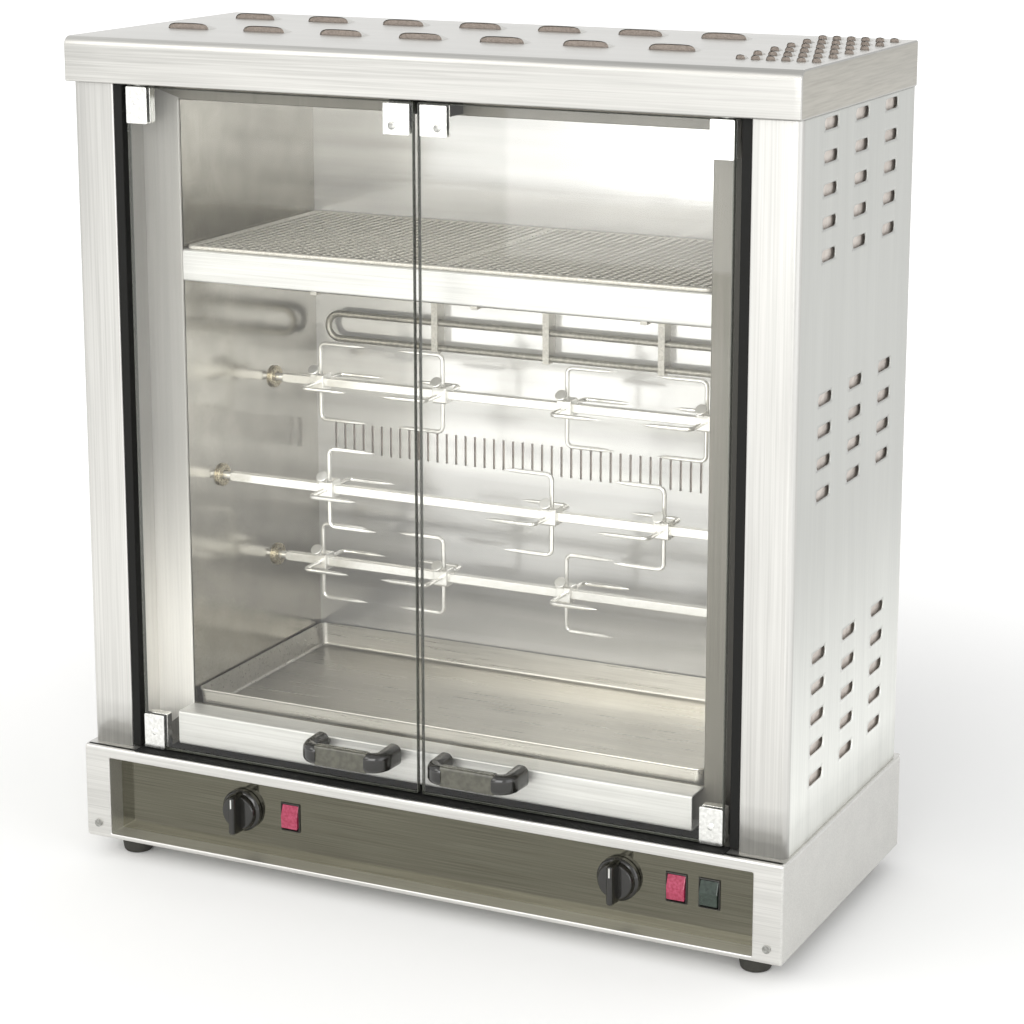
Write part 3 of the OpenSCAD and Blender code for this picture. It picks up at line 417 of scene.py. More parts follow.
def moulded(name, peelMm, lowTone, highTone, gloss, bump, metal=0.0, coat=0.0, ior=1.5):
    # moulded or cast surface: noise peelMm wide in gloss, bump and tone
    material, tree = startMaterial(name)
    place = addNode(tree, "TexCoord").outputs["Object"]
    peel = addNode(tree, "TexNoise", {"Vector": place, "Scale": 1000 / peelMm, "Detail": 2.0})
    surface = addNode(tree, "BsdfPrincipled", {
        "Base Color": toneRamp(tree, peel, 0.35, 0.65, lowTone, highTone),
        "Roughness": remap(tree, peel, 0.3, 0.7, *gloss),
        "Normal": addNode(tree, "Bump", {"Strength": bump, "Distance": 0.0003, "Height": peel}),
        "Metallic": metal, "Coat Weight": coat, "Coat Roughness": 0.05, "IOR": ior})
    addNode(tree, "OutputMaterial", {"Surface": surface})
    return material


def floatGlass(name, tint, dustMm):
    # flat pane: what is behind shows straight through with a faint tint, and gloss grows towards grazing
    material, tree = startMaterial(name)
    place = addNode(tree, "TexCoord").outputs["Object"]
    smear = addNode(tree, "TexNoise", {"Vector": place, "Scale": 1000 / dustMm, "Detail": 3.0})
    through = addNode(tree, "BsdfTransparent", {"Color": toLinear(tint)})
    mirror = addNode(tree, "BsdfGlossy", {"Color": toLinear("#FFFFFF"),
                                          "Roughness": remap(tree, smear, 0.0, 1.0, 0.015, 0.05)})
    # the mirror share is nothing on the far face, since sight passes the pane unbent
    back = addNode(tree, "NewGeometry").outputs["Backfacing"]
    entering = addNode(tree, "Math", {0: 1.0, 1: back}, operation="SUBTRACT")
    share = addNode(tree, "Math", {0: addNode(tree, "Fresnel", {"IOR": 1.5}), 1: entering},
                    operation="MULTIPLY")
    both = addNode(tree, "MixShader", {0: share, 1: through, 2: mirror})
    addNode(tree, "OutputMaterial", {"Surface": both})
    return material


brushed = {"grain": "x", "grainMm": 1.6, "streakMm": 180, "waveMm": 260, "waveDepth": 0.8, "bump": 0.05,
           "bandMm": 30, "bandTone": 0.03, "gloss": (0.32, 0.42), "metal": 0.92}
satin = {"grain": "z", "grainMm": 2.4, "streakMm": 120, "waveMm": 300, "waveDepth": 0.6, "bump": 0.04,
         "bandMm": 26, "bandTone": 0.04, "gloss": (0.42, 0.52), "metal": 0.7}
stile = {**satin, "grainMm": 2.0, "streakMm": 200, "waveMm": 260, "bandMm": 18, "bandTone": 0.06,
         "metal": 0.4}
polished = {"grain": "x", "grainMm": 3.5, "streakMm": 300, "waveMm": 120, "waveDepth": 1.6, "bump": 0.10,
            "bandMm": 30, "bandTone": 0.10, "gloss": (0.10, 0.18), "metal": 0.85}

# brushed stainless steel, grain along the width: pale, soft stretched highlights, and painted shade makes it
# greyer to the right
brushedAcross = rolledSteel("brushedStainlessAcross", brushed, "#B4B3AF", "#C4C3BF",
                            paintedLightFades=[("X", -0.25, 0.40, 1.0, 0.78)])
# the same sheet paler, on the base; on the flat top of the cap the paler copy is painted light, for the top
# lit from above
brushedPale = rolledSteel("brushedStainlessPale", brushed, "#C9C8C4", "#D9D8D4")
# columns: the grain stands upright, and painted shade greys the sheet towards the top and a little to the
# right
brushedUpright = rolledSteel("brushedStainlessUpright", brushed, "#C4C3BF", "#D4D3CF", grain="z",
                             grainMm=1.8, streakMm=240, bandMm=14, bandTone=0.05, metal=0.9,
                             paintedLightFades=[("Z", 0.14, 0.62, 1.0, 0.80), ("X", -0.25, 0.40, 1.0, 0.93)])
# satin sheet of the side walls and the back: painted light keeps it near white at the foot, and it is light
# grey from half a metre up
satinUpright = rolledSteel("satinStainlessUpright", satin, "#E8E9E4", "#F1F2ED",
                           paintedLightFades=[("Z", 0.14, 0.50, 1.0, 0.57)])
# folded ends of the cap: mid grey satin, a darker copy painted as shade on the cap's end faces
satinEndShade = rolledSteel("satinStainlessEndShade", satin, "#A19E96", "#B2AFA7", grain="y", streakMm=60,
                       waveMm=200, bandMm=24, bandTone=0.05)
# polished floor, ceiling and divider of the chamber: nearly a mirror, with long wavering streaks
millAcross = rolledSteel("polishedStainlessChamber", polished, "#EFEEEB", "#FBFAF8")
# shelf rail and front sill: light grey rolled sheet, half matt, fine grain along them
railSteel = rolledSteel("brightRolledStainless", brushed, "#D0D0CD", "#DEDEDC", grainMm=2.0, streakMm=200,
                        waveMm=200, bump=0.06, bandMm=9, bandTone=0.08, gloss=(0.34, 0.44), metal=0.5)
# right stile and lintel: warm grey satin, a darker copy of the stile sheet as painted shade; the strip beside
# the right door's edge is painted shade, near black
stileShadedSteel = rolledSteel("satinStainlessStileShaded", stile, "#706E65", "#7E7B73",
                         paintedLightFades=[("X", 0.334, 0.339, 1.0, 0.2)])
# left stile and seal carriers: a paler copy of the stile sheet as painted light, near white at the foot, mid
# grey from half a metre up
stileLitSteel = rolledSteel("satinStainlessStileLit", stile, "#E3E1DC", "#EDEBE6",
                        paintedLightFades=[("Z", 0.24, 0.50, 1.0, 0.48)])
# side walls of the chamber: the polished sheet greyer and a shade duller
heatedWall = rolledSteel("heatDulledStainless", polished, "#BDBAB1", "#CCC9C1", bandTone=0.12,
                         gloss=(0.12, 0.22), metal=0.95)
# back wall: half mirror, half white haze; painted shade greys it at its left end and towards its foot
backSheetSteel = rolledSteel("hazedStainlessChamber", polished, "#FAF9F7", "#FFFFFE", streakMm=400,
                             waveMm=130, bandMm=26, bandTone=0.18, gloss=(0.12, 0.20), metal=0.55,
                             paintedLightFades=[("X", -0.24, -0.13, 0.80, 1.0), ("Z", 0.20, 0.66, 0.56, 1.0)])
# drip tray: pressed satin sheet; painted shade greys it towards its left end
trayPressed = rolledSteel("scouredStainlessTray", polished, "#DAD7CF", "#E8E5DD", grainMm=2.4, streakMm=90,
                          waveMm=160, waveDepth=1.0, bump=0.08, gloss=(0.26, 0.36), metal=0.8,
                          paintedLightFades=[("X", -0.30, 0.20, 0.58, 1.0)])
# tinted polished steel of the control front: dark olive, mirror-like, fine lines across
panelSteel = rolledSteel("tintedPolishedSteel", polished, "#626054", "#767467", grainMm=1.2, streakMm=160,
                         waveMm=220, waveDepth=1.0, bump=0.03, bandMm=40, gloss=(0.07, 0.13), metal=0.95)
# galvanised liner behind the vents: warm light grey and dull, which softens the slots it stands behind
galvanised = moulded("galvanisedLiner", 12.0, "#CFC6BE", "#E2DAD2", (0.5, 0.65), 0.1, metal=0.2)
# fine wire mesh behind the louvres: brown-grey, dull; the tone is partly painted shade, standing for the dark
# inside of each mouth
louvreMeshShade = moulded("wireMeshMouthShade", 2.0, "#7A7068", "#93887F", (0.5, 0.65), 0.2)
# nickel-plated steel of the glass fittings: white, smooth
nickelPlate = moulded("nickelPlatedSteel", 4.0, "#DEDEDA", "#F4F4F1", (0.16, 0.26), 0.05, metal=0.95)
# zinc-plated fasteners and sockets: grey, slightly cloudy
zincPlate = moulded("zincPlatedSteel", 2.5, "#8F8F8B", "#B3B3AF", (0.28, 0.42), 0.1, metal=1.0)
# polished round and square bar: near white, small highlights
spitSteel = moulded("polishedStainlessBar", 3.0, "#E6E5E0", "#F4F3EF", (0.14, 0.24), 0.08, metal=0.7)
# tinned steel wire of the shelf and strip of the element clips: warm light grey, satin
shelfWire = moulded("tinnedSteelWire", 2.0, "#BEBBB2", "#D8D5CD", (0.32, 0.48), 0.1, metal=0.5)
# sheathed heating tube: warm mid grey, satin
tubeSteel = moulded("heatTintedTube", 5.0, "#A19E94", "#BAB7AD", (0.3, 0.45), 0.08, metal=0.85)
# turned brass of the bushes: dull pale buff, plain
turnedBrass = moulded("turnedBrass", 2.0, "#A89F88", "#BDB49E", (0.22, 0.34), 0.06, metal=0.9)
# moulded phenolic of knobs and handle ends: near black with a wet-looking gloss
phenolicBlack = moulded("phenolicBlack", 1.5, "#141311", "#1D1C18", (0.12, 0.22), 0.06, coat=0.5)
# the same material on the flat grip: dark olive-grey, glossy; this lighter copy is a painted sheen on the
# grip's face
phenolicGripSheen = moulded("phenolicBlackSheen", 6.0, "#403F35", "#504F44", (0.10, 0.18), 0.05, coat=0.6)
# moulded ABS of the switch frames: black, satin
absBlack = moulded("absBlack", 1.2, "#24231F", "#2E2D29", (0.3, 0.42), 0.08)
# polycarbonate paddles: deep pink-red and dark green-grey, glossy
lensRed = moulded("polycarbonateRed", 3.0, "#8E2540", "#A43A57", (0.12, 0.2), 0.04, coat=0.3)
lensGreen = moulded("polycarbonateGreen", 3.0, "#1F2B23", "#2A382F", (0.12, 0.2), 0.04, coat=0.3)
# moulded rubber of the feet: matt, near black
rubberBlack = moulded("mouldedRubber", 0.9, "#2B2A28", "#38372F", (0.6, 0.75), 0.15)
# extruded seal round the doors: black and matt, with hardly a sheen; its black also stands as painted shade
# in the gaps beside and under the doors
sealBlack = moulded("extrudedSeal", 8.0, "#0B0B09", "#141412", (0.75, 0.9), 0.05, ior=1.35)
# die-cast aluminium of the drives: light grey, grainy
castAluminium = moulded("dieCastAluminium", 1.6, "#989894", "#B5B5B1", (0.42, 0.55), 0.2, metal=0.9)
# glazed ceramic of the terminal block: cream, glossy
glazedCeramic = moulded("glazedCeramic", 5.0, "#DAD6CA", "#E9E6DC", (0.12, 0.2), 0.04, coat=0.4)
# moulded nylon of the cable gland and the magnets' cases: black, matt
nylonBlack = moulded("mouldedNylon", 1.0, "#242422", "#302F2D", (0.45, 0.6), 0.1)
# toughened glass, almost clear, and its ground rim, which shows dark grey-green
doorGlass = floatGlass("toughenedGlass", "#FDFDFC", 45)
glassRim = moulded("groundGlassRim", 1.0, "#3B3D38", "#55574F", (0.2, 0.35), 0.1)

spitLevels = ("upper", "middle", "lower")
paints = (
    (brushedPale, "base_shell base_deck base_front"),
    (brushedAcross, "back_panel service_cover top_cap"),
    (brushedUpright, "left_side_panel right_side_panel"),
    (stileShadedSteel, "opening_frame"),
    (panelSteel, "control_panel"),
    (backSheetSteel, "cavity_back_wall"),
    (millAcross, "cavity_floor cavity_ceiling shelf_divider"),
    (heatedWall, "cavity_left_wall cavity_right_wall"),
    (trayPressed, "drip_tray"),
    (railSteel, "shelf_rail front_sill"),
    (shelfWire, "element_clips warming_shelf"),
    (zincPlate, "foot_bolts hinge_pins panel_screws thermostats left_handle_screws right_handle_screws"),
    (castAluminium, "gearmotors"),
    (nylonBlack, "cable_gland door_magnets"),
    (glazedCeramic, "terminal_block"),
    (rubberBlack, "feet"),
    (sealBlack, "door_seals"),
    (tubeSteel, "heating_elements"),
    (turnedBrass, "spit_bushes"),
    (nickelPlate, "left_hinge_plates right_hinge_plates left_catch_plate right_catch_plate"),
    (phenolicBlack, "left_handle right_handle left_knob right_knob"),
    (absBlack, "switch_bezels"),
    (lensRed, "left_rocker right_rocker"),
    (lensGreen, "dark_rocker"),
    (doorGlass, "left_glass right_glass"),
    (spitSteel, "upper_spit upper_forks upper_socket middle_spit middle_forks middle_socket"),
    (spitSteel, "lower_spit lower_forks lower_socket"),
)
for finish, names in paints:
    for name in names.split():
        nodes[name].data.materials.clear()
        nodes[name].data.materials.append(finish)
print("materials made")

baseFront = {"fold": 3.0, "innerFold": 1.6, "sheet": 1.5, "wrap": 8.0, "corner": 1.2, "backGap": 0.6}


def makeBaseFront():
    low, high = cad("base_front")
    panelLow, panelHigh = cad("control_panel")
    sheet, fold, corner = baseFront["sheet"], baseFront["fold"], baseFront["corner"]
    # the panel is one sheet wider than the opening all round
    opening = (panelLow[0] + sheet, panelHigh[0] - sheet, panelLow[2] + sheet, panelHigh[2] - sheet)
    outer = (low[0], high[0], low[2], high[2])
    front, back, wrap = low[1], high[1], low[1] + baseFront["wrap"]
    inside = front + sheet + baseFront["backGap"]
    rows = [rim(outer, 0, fold, wrap)]
    # outer fold, from the side to the face: in = fold * (1 - cosine), depth = fold * (1 - sine)
    for t in arc(0, 90, 6):
        d = fold * (1 - math.cos(t))
        rows.append(rim(outer, -d, max(fold - d, 0.4), front + fold * (1 - math.sin(t))))
    rows += foldIn(opening, baseFront["innerFold"], corner, front)
    rows += [rim(opening, 0, corner, back), rim(opening, sheet, 2 * corner, back),
             rim(opening, sheet, 2 * corner, inside), rim(outer, -sheet, sheet, inside),
             rim(outer, -sheet, sheet, wrap)]
    makePiece("baseFrontFrame", [ringSolid(rows, 1, ringed=True)], [brushedPale], "cabinet", ["base_front"])


baseShell = {"underDeck": 2.4, "deckLip": 18.0, "footLip": 26.0, "bend": 2.2, "corner": 3.0,
             "deckFront": 3.0, "deckEdge": 0.9}


def makeBaseShell():
    low, high = cad("base_shell")
    t = baseFront["sheet"]
    # the shell leaves room for the front's wrapped flange
    front = low[1] - t + baseFront["wrap"]
    # upright section of the wrap: a lip under the deck, the wall, and a lip round the bottom
    lipZ, footZ = high[2] - baseShell["underDeck"], low[2] + t / 2
    section = sheetSection([[baseShell["deckLip"], lipZ], [t / 2, lipZ], [t / 2, footZ],
                            [baseShell["footLip"], footZ]], t, baseShell["bend"])
    plan = bentPath([[low[0], front], [low[0], high[1]], [high[0], high[1]], [high[0], front]],
                    baseShell["corner"], 5)
    ahead = np.gradient(plan, axis=0)
    ahead /= np.linalg.norm(ahead, axis=1, keepdims=True)
    inward = np.stack([ahead[:, 1], -ahead[:, 0]], -1)
    rings = np.concatenate([
        plan[:, None, :] + section[None, :, 0, None] * inward[:, None, :],
        np.broadcast_to(section[None, :, 1, None], (len(plan), len(section), 1))], -1)
    bottom = slab([low[0] + t, front, low[2] + 0.05], [high[0] - t, high[1] - t, low[2] + t], edge=0.2,
                  corner=0.5)
    makePiece("baseWrap", [loft(rings), bottom], [brushedPale], "cabinet", ["base_shell"])
    deckTop = cad("base_deck")[1][2]
    deck = slab([low[0], low[1] - t + baseShell["deckFront"], deckTop - t], [high[0], high[1], deckTop],
                edge=baseShell["deckEdge"], corner=baseShell["corner"])
    makePiece("baseDeckPlate", [deck], [brushedPale], "cabinet", ["base_deck"])


# rows are height and radius, from the floor up into the base
footProfile = ((0.0, 0.0), (0.0, 13.5), (0.8, 15.2), (2.4, 16.4), (9.0, 17.6), (15.5, 18.0), (17.2, 17.6),
               (18.0, 16.6), (18.2, 13.0), (19.0, 12.4), (23.6, 12.2), (24.0, 11.6), (24.0, 0.0))


def makeFeet():
    low, high = cad("feet")
    radius = max(r for z, r in footProfile)
    parts = [turned(footProfile, (x, y, low[2]), 2, 36) for x in (low[0] + radius, high[0] - radius)
             for y in (low[1] + radius, high[1] - radius)]
    makePiece("rubberFeet", parts, [rubberBlack], "cabinet", ["feet"])


makeBaseFront()
makeBaseShell()
makeFeet()
print("base made")

# hoods are pressed up out of the cap: a bow with flat middle across, a cosine from mouth to back
bigHood = {"width": 52.0, "depth": 18.7, "height": 6.6, "flatness": 6, "fall": 0.8, "every": 1}
smallHood = {"width": 10.0, "depth": 12.0, "height": 4.6, "flatness": 4, "fall": 1.0, "every": 2}
capShape = {"frontRadius": 10.0, "backRadius": 3.0, "lowRadius": 2.0, "endFold": 1.8, "hoodRoom": 7.0,
            "firstX": 76.0, "stepX": 97.0, "rows": (132.0, 275.0), "smallX": 14.0, "smallStepX": 16.0,
            "smallRow": 78.0, "smallStepY": 48.0, "meshBehind": 1.5, "meshShare": 0.85}


def makeCap():
    low, high = cad("top_cap")
    c = capShape
    left, right, front, back = low[0], high[0], low[1], high[1]
    bottom, top = low[2], high[2] - c["hoodRoom"]
    hoods = [(left + c["firstX"] + k * c["stepX"], front + row, bigHood)
             for k in range(7) for row in c["rows"]]
    hoods += [(right - c["smallX"] - k * c["smallStepX"], front + c["smallRow"] + j * c["smallStepY"],
               smallHood) for k in range(6) for j in range(6)]
    # each mouth stands between two rows of points a hair apart
    hair = 0.02
    flatEnds = front + c["frontRadius"], back - c["backRadius"]
    topY = np.concatenate([np.linspace(*flatEnds, 6)] + [
        np.append(y + np.linspace(0, 1, 9) * hood["depth"], y - hair) for _, y, hood in hoods])
    topY = np.unique(np.round(topY, 4))
    topY = topY[(topY >= flatEnds[0]) & (topY <= flatEnds[1])]
    half = np.array([0.0, 0.4, 0.7, 0.86, 0.94, 0.985, 1.0])
    across = np.concatenate([-half[:0:-1], half])
    fold = c["endFold"]
    xs = np.unique(np.round(np.concatenate([[left + fold, right - fold]] + [
        x + across[::hood["every"]] * hood["width"] / 2 for x, _, hood in hoods]), 4))

    def outline(inset):
        # section seen from the side, moved in by inset: front face, front bend, top, back bend, back face
        def bend(cy, cz, radius, start):
            turn = arc(start, start - 90, 7)
            return np.stack([cy + (radius - inset) * np.cos(turn), cz + (radius - inset) * np.sin(turn)], -1)
        r, s, q = c["frontRadius"], c["backRadius"], c["lowRadius"]
        flat = np.stack([topY, np.full_like(topY, top - inset)], -1)[1:-1]
        return np.concatenate([bend(front + q, bottom + q, q, 270), bend(front + r, top - r, r, 180), flat,
                               bend(back - s, top - s, s, 90), bend(back - q, bottom + q, q, 0)])

    base, flatRows = outline(0.0), slice(14, 14 + len(topY) - 2)
    body = facing(np.broadcast_to(base, (len(xs),) + base.shape).copy(), xs[:, None], 0)
    lift = np.zeros((len(xs), len(topY) - 2))
    for x, y, hood in hoods:
        # height = peak * (1 - |u| ^ flatness) ^ 0.5 * cosine(v * quarter turn) ^ fall
        u = (xs[:, None] - x) / (hood["width"] / 2)
        v = (base[None, flatRows, 0] - y) / hood["depth"]
        bow = np.sqrt(np.clip(1 - np.abs(u) ** hood["flatness"], 0, 1))
        rise = hood["height"] * bow * np.cos(np.clip(v, 0, 1) * np.pi / 2) ** hood["fall"]
        lift = np.where((np.abs(u) < 1) & (v >= 0) & (v <= 1), rise, lift)
    body[:, flatRows, 2] += lift
    ends = [(fold * (1 - math.cos(t)), fold * (1 - math.sin(t))) for t in arc(90, 0, 5)[:-1]]
    rings = [facing(outline(inset), left + offset, 0) for inset, offset in ends]
    rings += list(body) + [facing(outline(inset), right - offset, 0) for inset, offset in ends[::-1]]
    rings = np.stack(rings)
    points, faces, _ = loft(rings)
    # the faces that close the mouths are left out
    grid = np.array(faces[:-2])
    y, z = points[:, 1][grid], points[:, 2][grid]
    step = (np.ptp(y, axis=1) < 0.05) & (np.ptp(z, axis=1) > 0.3) & (z.max(1) > top + 0.3)
    kept = grid[~step].tolist()
    # faces on the flat top take the paler copy of the cap's sheet: painted light on the lit top
    level = np.where(z[~step].min(1) > top - 0.5, 2, 0).tolist()
    # a strip of fine mesh stands close behind each mouth, a little lower than its hood; its brown-grey is
    # partly painted shade of the mouth
    strips = points[grid[step]] + np.array([0, c["meshBehind"], 0])
    strips[:, :, 2] = top + (strips[:, :, 2] - top) * c["meshShare"]
    mesh = (strips.reshape(-1, 3), np.arange(len(strips) * 4).reshape(-1, 4), 3)
    makePiece("louvredCap", [(points, kept + faces[-2:], level + [1, 1]), mesh],
              [brushedAcross, satinEndShade, brushedPale, louvreMeshShade], "cabinet", ["top_cap"], closed=False)


makeCap()
print("cap made")


def slottedSkin(plan, lines, slotU, slotV, halfLength, halfHeight):
    # a skin over a plan drawn in x, y, as high as its lines, facing the right hand of someone walking it;
    # the marked cells get a slot whose ends are half turns about two centres
    grid = np.concatenate([np.broadcast_to(plan[:, None], (len(plan), len(lines), 2)),
                           np.broadcast_to(lines[None, :, None], (len(plan), len(lines), 1))], -1)
    quads = gridFaces(len(plan), len(lines))[:, ::-1]
    slotted = (slotU[:, None] & slotV[None, :]).ravel()
    faces, spots, start = quads[~slotted].tolist(), [grid.reshape(-1, 3)], grid.size // 3
    half = arc(-90, 90, 9)
    straight = halfLength - halfHeight
    for highLow, highHigh, lowHigh, lowLow in quads[slotted].tolist():
        corners = spots[0][[lowLow, highLow, highHigh]]
        ahead = (corners[1] - corners[0]) / np.linalg.norm(corners[1] - corners[0])
        centre = (corners[0] + corners[2]) / 2
        reach = (straight + halfHeight * np.cos(half))[:, None] * ahead
        rise = (halfHeight * np.sin(half))[:, None] * np.array([0.0, 0.0, 1.0])
        spots.append(np.concatenate([centre + reach + rise, centre - reach - rise]))
        far, near = list(range(start, start + 9)), list(range(start + 9, start + 18))
        faces += [[highLow, highHigh] + far[::-1], [highHigh, lowHigh, near[0], far[-1]],
                  [lowHigh, lowLow] + near[::-1], [lowLow, highLow, far[0], near[-1]]]
        start += 18
    return np.concatenate(spots), faces


def makeSheet(name, part, finishes, node, thickness):
    # an open skin, thickened inwards
    skin = makePiece(name, [part], finishes, "cabinet", [node], closed=False)
    wall = skin.modifiers.new("sheet", "SOLIDIFY")
    wall.thickness = thickness * 0.001
    wall.offset = -1.0


sideShape = {"sheet": 1.2, "backSheet": 1.6, "fold": 8.0, "smallFold": 1.6, "column": 52.0, "flange": 16.0,
             "slotLength": 41.0, "slotHeight": 12.0, "slotFirst": 100.0, "slotStep": 93.0, "rowStep": 33.0,
             "marginY": 4.0, "marginZ": 3.0, "fields": ((745.0, 5), (466.0, 4), (195.0, 5))}


def makeSide(side):
    s = sideShape
    low, high = rightBox(side + "_side_panel")
    outer, front, bottom, top = high[0], low[1], low[2], high[2]
    inner = outer - s["column"]
    # the back flange lies inside the back sheet
    backSkin = high[1] - s["backSheet"]
    turn = arc(0, 90, 9)
    r, q = s["fold"], s["smallFold"]
    # plan of the skin: return, small fold, column face, big fold, side, back flange
    smallBend = np.stack([inner + q * (1 - np.cos(turn)), front + q * (1 - np.sin(turn))], -1)
    bigBend = np.stack([outer - r + r * np.sin(turn), front + r - r * np.cos(turn)], -1)
    backBend = np.stack([outer - q * (1 - np.cos(turn[::2])), backSkin - q + q * np.sin(turn[::2])], -1)
    rowY = cad("base_front")[0][1] + s["slotFirst"] + s["slotStep"] * np.arange(3)
    halfL, halfH = s["slotLength"] / 2, s["slotHeight"] / 2
    sideY = np.sort(np.concatenate([rowY - halfL - s["marginY"], rowY + halfL + s["marginY"]]))
    plan = np.concatenate([[[inner, cad("opening_frame")[0][1]]], smallBend, bigBend,
                           np.stack([np.full(6, outer), sideY], -1), backBend,
                           [[outer - s["flange"], backSkin]]])
    firstSide = 1 + len(smallBend) + len(bigBend)
    rowZ = np.concatenate([bottom + start - s["rowStep"] * np.arange(count) for start, count in s["fields"]])
    edge = halfH + s["marginZ"]
    lines = np.sort(np.concatenate([[bottom, top], rowZ - edge, rowZ + edge]))
    cellV = np.abs((lines[:-1] + lines[1:])[:, None] / 2 - rowZ[None]).min(1) < 0.5
    cellU = np.isin(np.arange(len(plan) - 1), firstSide + np.array([0, 2, 4]))
    points, faces = slottedSkin(plan, lines, cellU, cellV, halfL, halfH)
    if side == "left":
        points = points * np.array([-1.0, 1.0, 1.0])
        faces = [face[::-1] for face in faces]
    # the column is brushed and the wall behind its fold is satin
    depth = np.array([points[face, 1].mean() for face in faces])
    finishes = (depth > front + r - 0.5).astype(int).tolist()
    makeSheet(side + "SideSkin", (points, faces, finishes), [brushedUpright, satinUpright],
              side + "_side_panel", s["sheet"])


linerShape = {"behind": 4.0, "thick": 0.6, "edge": 5.0, "sideFront": 48.0, "capFront": 110.0,
              "capSheet": 1.5, "capBelow": 1.2, "wallBehind": 3.0, "wallEdge": 10.0,
              "wallRows": (400.0, 470.0)}


def makeLiners():
    # plain sheets a few millimetres behind the vents of the sides, the cap and the chamber's back wall;
    # the back panel's own row has none, and its slot nearest the right side looks black from behind
    g = linerShape
    thick, edge = g["thick"], g["edge"]
    low, high = cad("right_side_panel")
    x = high[0] - sideShape["sheet"] - g["behind"]
    flank = slab([x - thick, low[1] + g["sideFront"], low[2] + edge],
                 [x, high[1] - edge, high[2] - edge], 0, 0.1)
    low, high = cad("top_cap")
    z = high[2] - capShape["hoodRoom"] - g["capSheet"] - g["capBelow"]
    roof = slab([low[0] + edge, low[1] + g["capFront"], z - thick],
                [high[0] - edge, high[1] - edge, z], 2, 0.1)
    low, high = cad("cavity_back_wall")
    y, (foot, top) = high[1] + g["wallBehind"], g["wallRows"]
    back = slab([low[0] + g["wallEdge"], y, foot], [high[0] - g["wallEdge"], y + thick, top], 1, 0.1)
    makePiece("ventLiners", [flank, roof, back] + mirrored([flank]), [galvanised], "cabinet")


makeSide("right")
makeSide("left")
makeLiners()
print("side panels made")

chamberShape = {"sheet": 1.5, "railFold": 2.2, "frameFold": 2.0, "corner": 1.5, "edge": 0.5, "lip": 2.0,
                "skin": 1.4}


def makeOpeningFrame():
    c = chamberShape
    low, high = cad("opening_frame")
    floorLow, floorHigh = cad("cavity_floor")
    opening = (floorLow[0], floorHigh[0], cad("front_sill")[1][2], cad("cavity_ceiling")[0][2])
    outer = (low[0], high[0], low[2], high[2])
    corner, skin, lip = c["corner"], c["skin"], high[1] + c["lip"]
    rows = [rim(outer, 0, c["edge"], high[1]), rim(outer, 0, c["edge"], low[1])]
    rows += foldIn(opening, c["frameFold"], corner, low[1])
    rows += [rim(opening, 0, corner, lip), rim(opening, skin, corner + skin, lip),
             rim(opening, skin, corner + skin, high[1])]
    points, faces, _ = ringSolid(rows, 1, ringed=True)
    # the left stile takes the lit copy and the rest the shaded one: painted light and shade
    finishes = [int(points[face, 0].mean() < opening[0]) for face in faces]
    makePiece("openingFrame", [(points, faces, finishes)], [stileShadedSteel, stileLitSteel], "cabinet",
              ["opening_frame"])


def makeRails():
    t = chamberShape["sheet"]
    for name, node in (("shelfRail", "shelf_rail"), ("frontSill", "front_sill")):
        low, high = cad(node)
        front, back, foot, top = low[1] + t / 2, high[1], low[2] + t / 2, high[2] - t / 2
        section = sheetSection([[back, top], [front, top], [front, foot], [back, foot]], t,
                               chamberShape["railFold"])
        makePiece(name, [along(section, 0, low[0], high[0])], [railSteel], "cabinet", [node])


trayShape = {"sheet": 1.2, "bend": 4.0, "bead": 1.5, "slope": 3.0, "corner": 9.0, "insideCorner": 8.0}


def makeTray():
    c = trayShape
    low, high = cad("drip_tray")
    box = (low[0], high[0], low[1], high[1])
    bend, bead, t = c["bend"], c["bead"], c["sheet"]
    # the bottom edge outside, the rolled rim, and down to the floor inside
    rows = [rim(box, -bend * (1 - math.sin(k)) - c["slope"], c["corner"], low[2] + bend * (1 - math.cos(k)))
            for k in arc(0, 90, 5)]
    rows += [rim(box, bead * math.cos(k) - bead, c["corner"] + bead * math.cos(k),
                 high[2] - bead + bead * math.sin(k)) for k in arc(-90, 90, 9)]
    rows += [rim(box, -bend * (1 - math.sin(k)) - c["slope"] - t, c["insideCorner"],
                 low[2] + t + bend * (1 - math.cos(k))) for k in arc(90, 0, 5)]
    makePiece("dripTray", [ringSolid(rows, 2)], [trayPressed], "cabinet", ["drip_tray"])


shelfShape = {"rim": 2.5, "wire": 0.9, "pitch": 10.0, "first": 8.0, "last": 4.0, "corner": 6.0,
              "rods": 3, "rod": 2.2, "rodDrop": 0.3}


def makeShelf():
    s = shelfShape
    low, high = cad("warming_shelf")
    r, w = s["rim"], s["wire"]
    x0, y0, z = low + r
    x1, y1, _ = high - r
    loop = roundedRects([[x0, x1, y0, y1, s["corner"]]], 5)[0]
    parts = [sweep(np.column_stack([loop, np.full(len(loop), z)]), (0, 0, 1), circle(r, 10), ringed=True)]
    for x in np.arange(x0 + s["first"], x1 - s["last"], s["pitch"]):
        parts.append(along(circle(w, 6) + np.array([x, z + r - w]), 1, y0, y1))
    for y in np.arange(y0 + s["first"], y1 - s["last"], s["pitch"]):
        parts.append(along(circle(w, 6) + np.array([y, z + r - w - 1.5 * w]), 0, x0, x1))
    for x in np.linspace(x0, x1, s["rods"] + 2)[1:-1]:
        parts.append(along(circle(s["rod"], 8) + np.array([x, z - s["rodDrop"]]), 1, y0, y1))
    makePiece("wireShelf", parts, [shelfWire], "cabinet", ["warming_shelf"])


heaterShape = {"radius": 4.0, "pin": 1.8, "pinLength": 8.0, "offWall": 12.0, "rearRise": 440.0,
               "rearSpan": 30.0, "upperBack": 200.0, "underRail": 16.0, "upperSpan": 90.0}


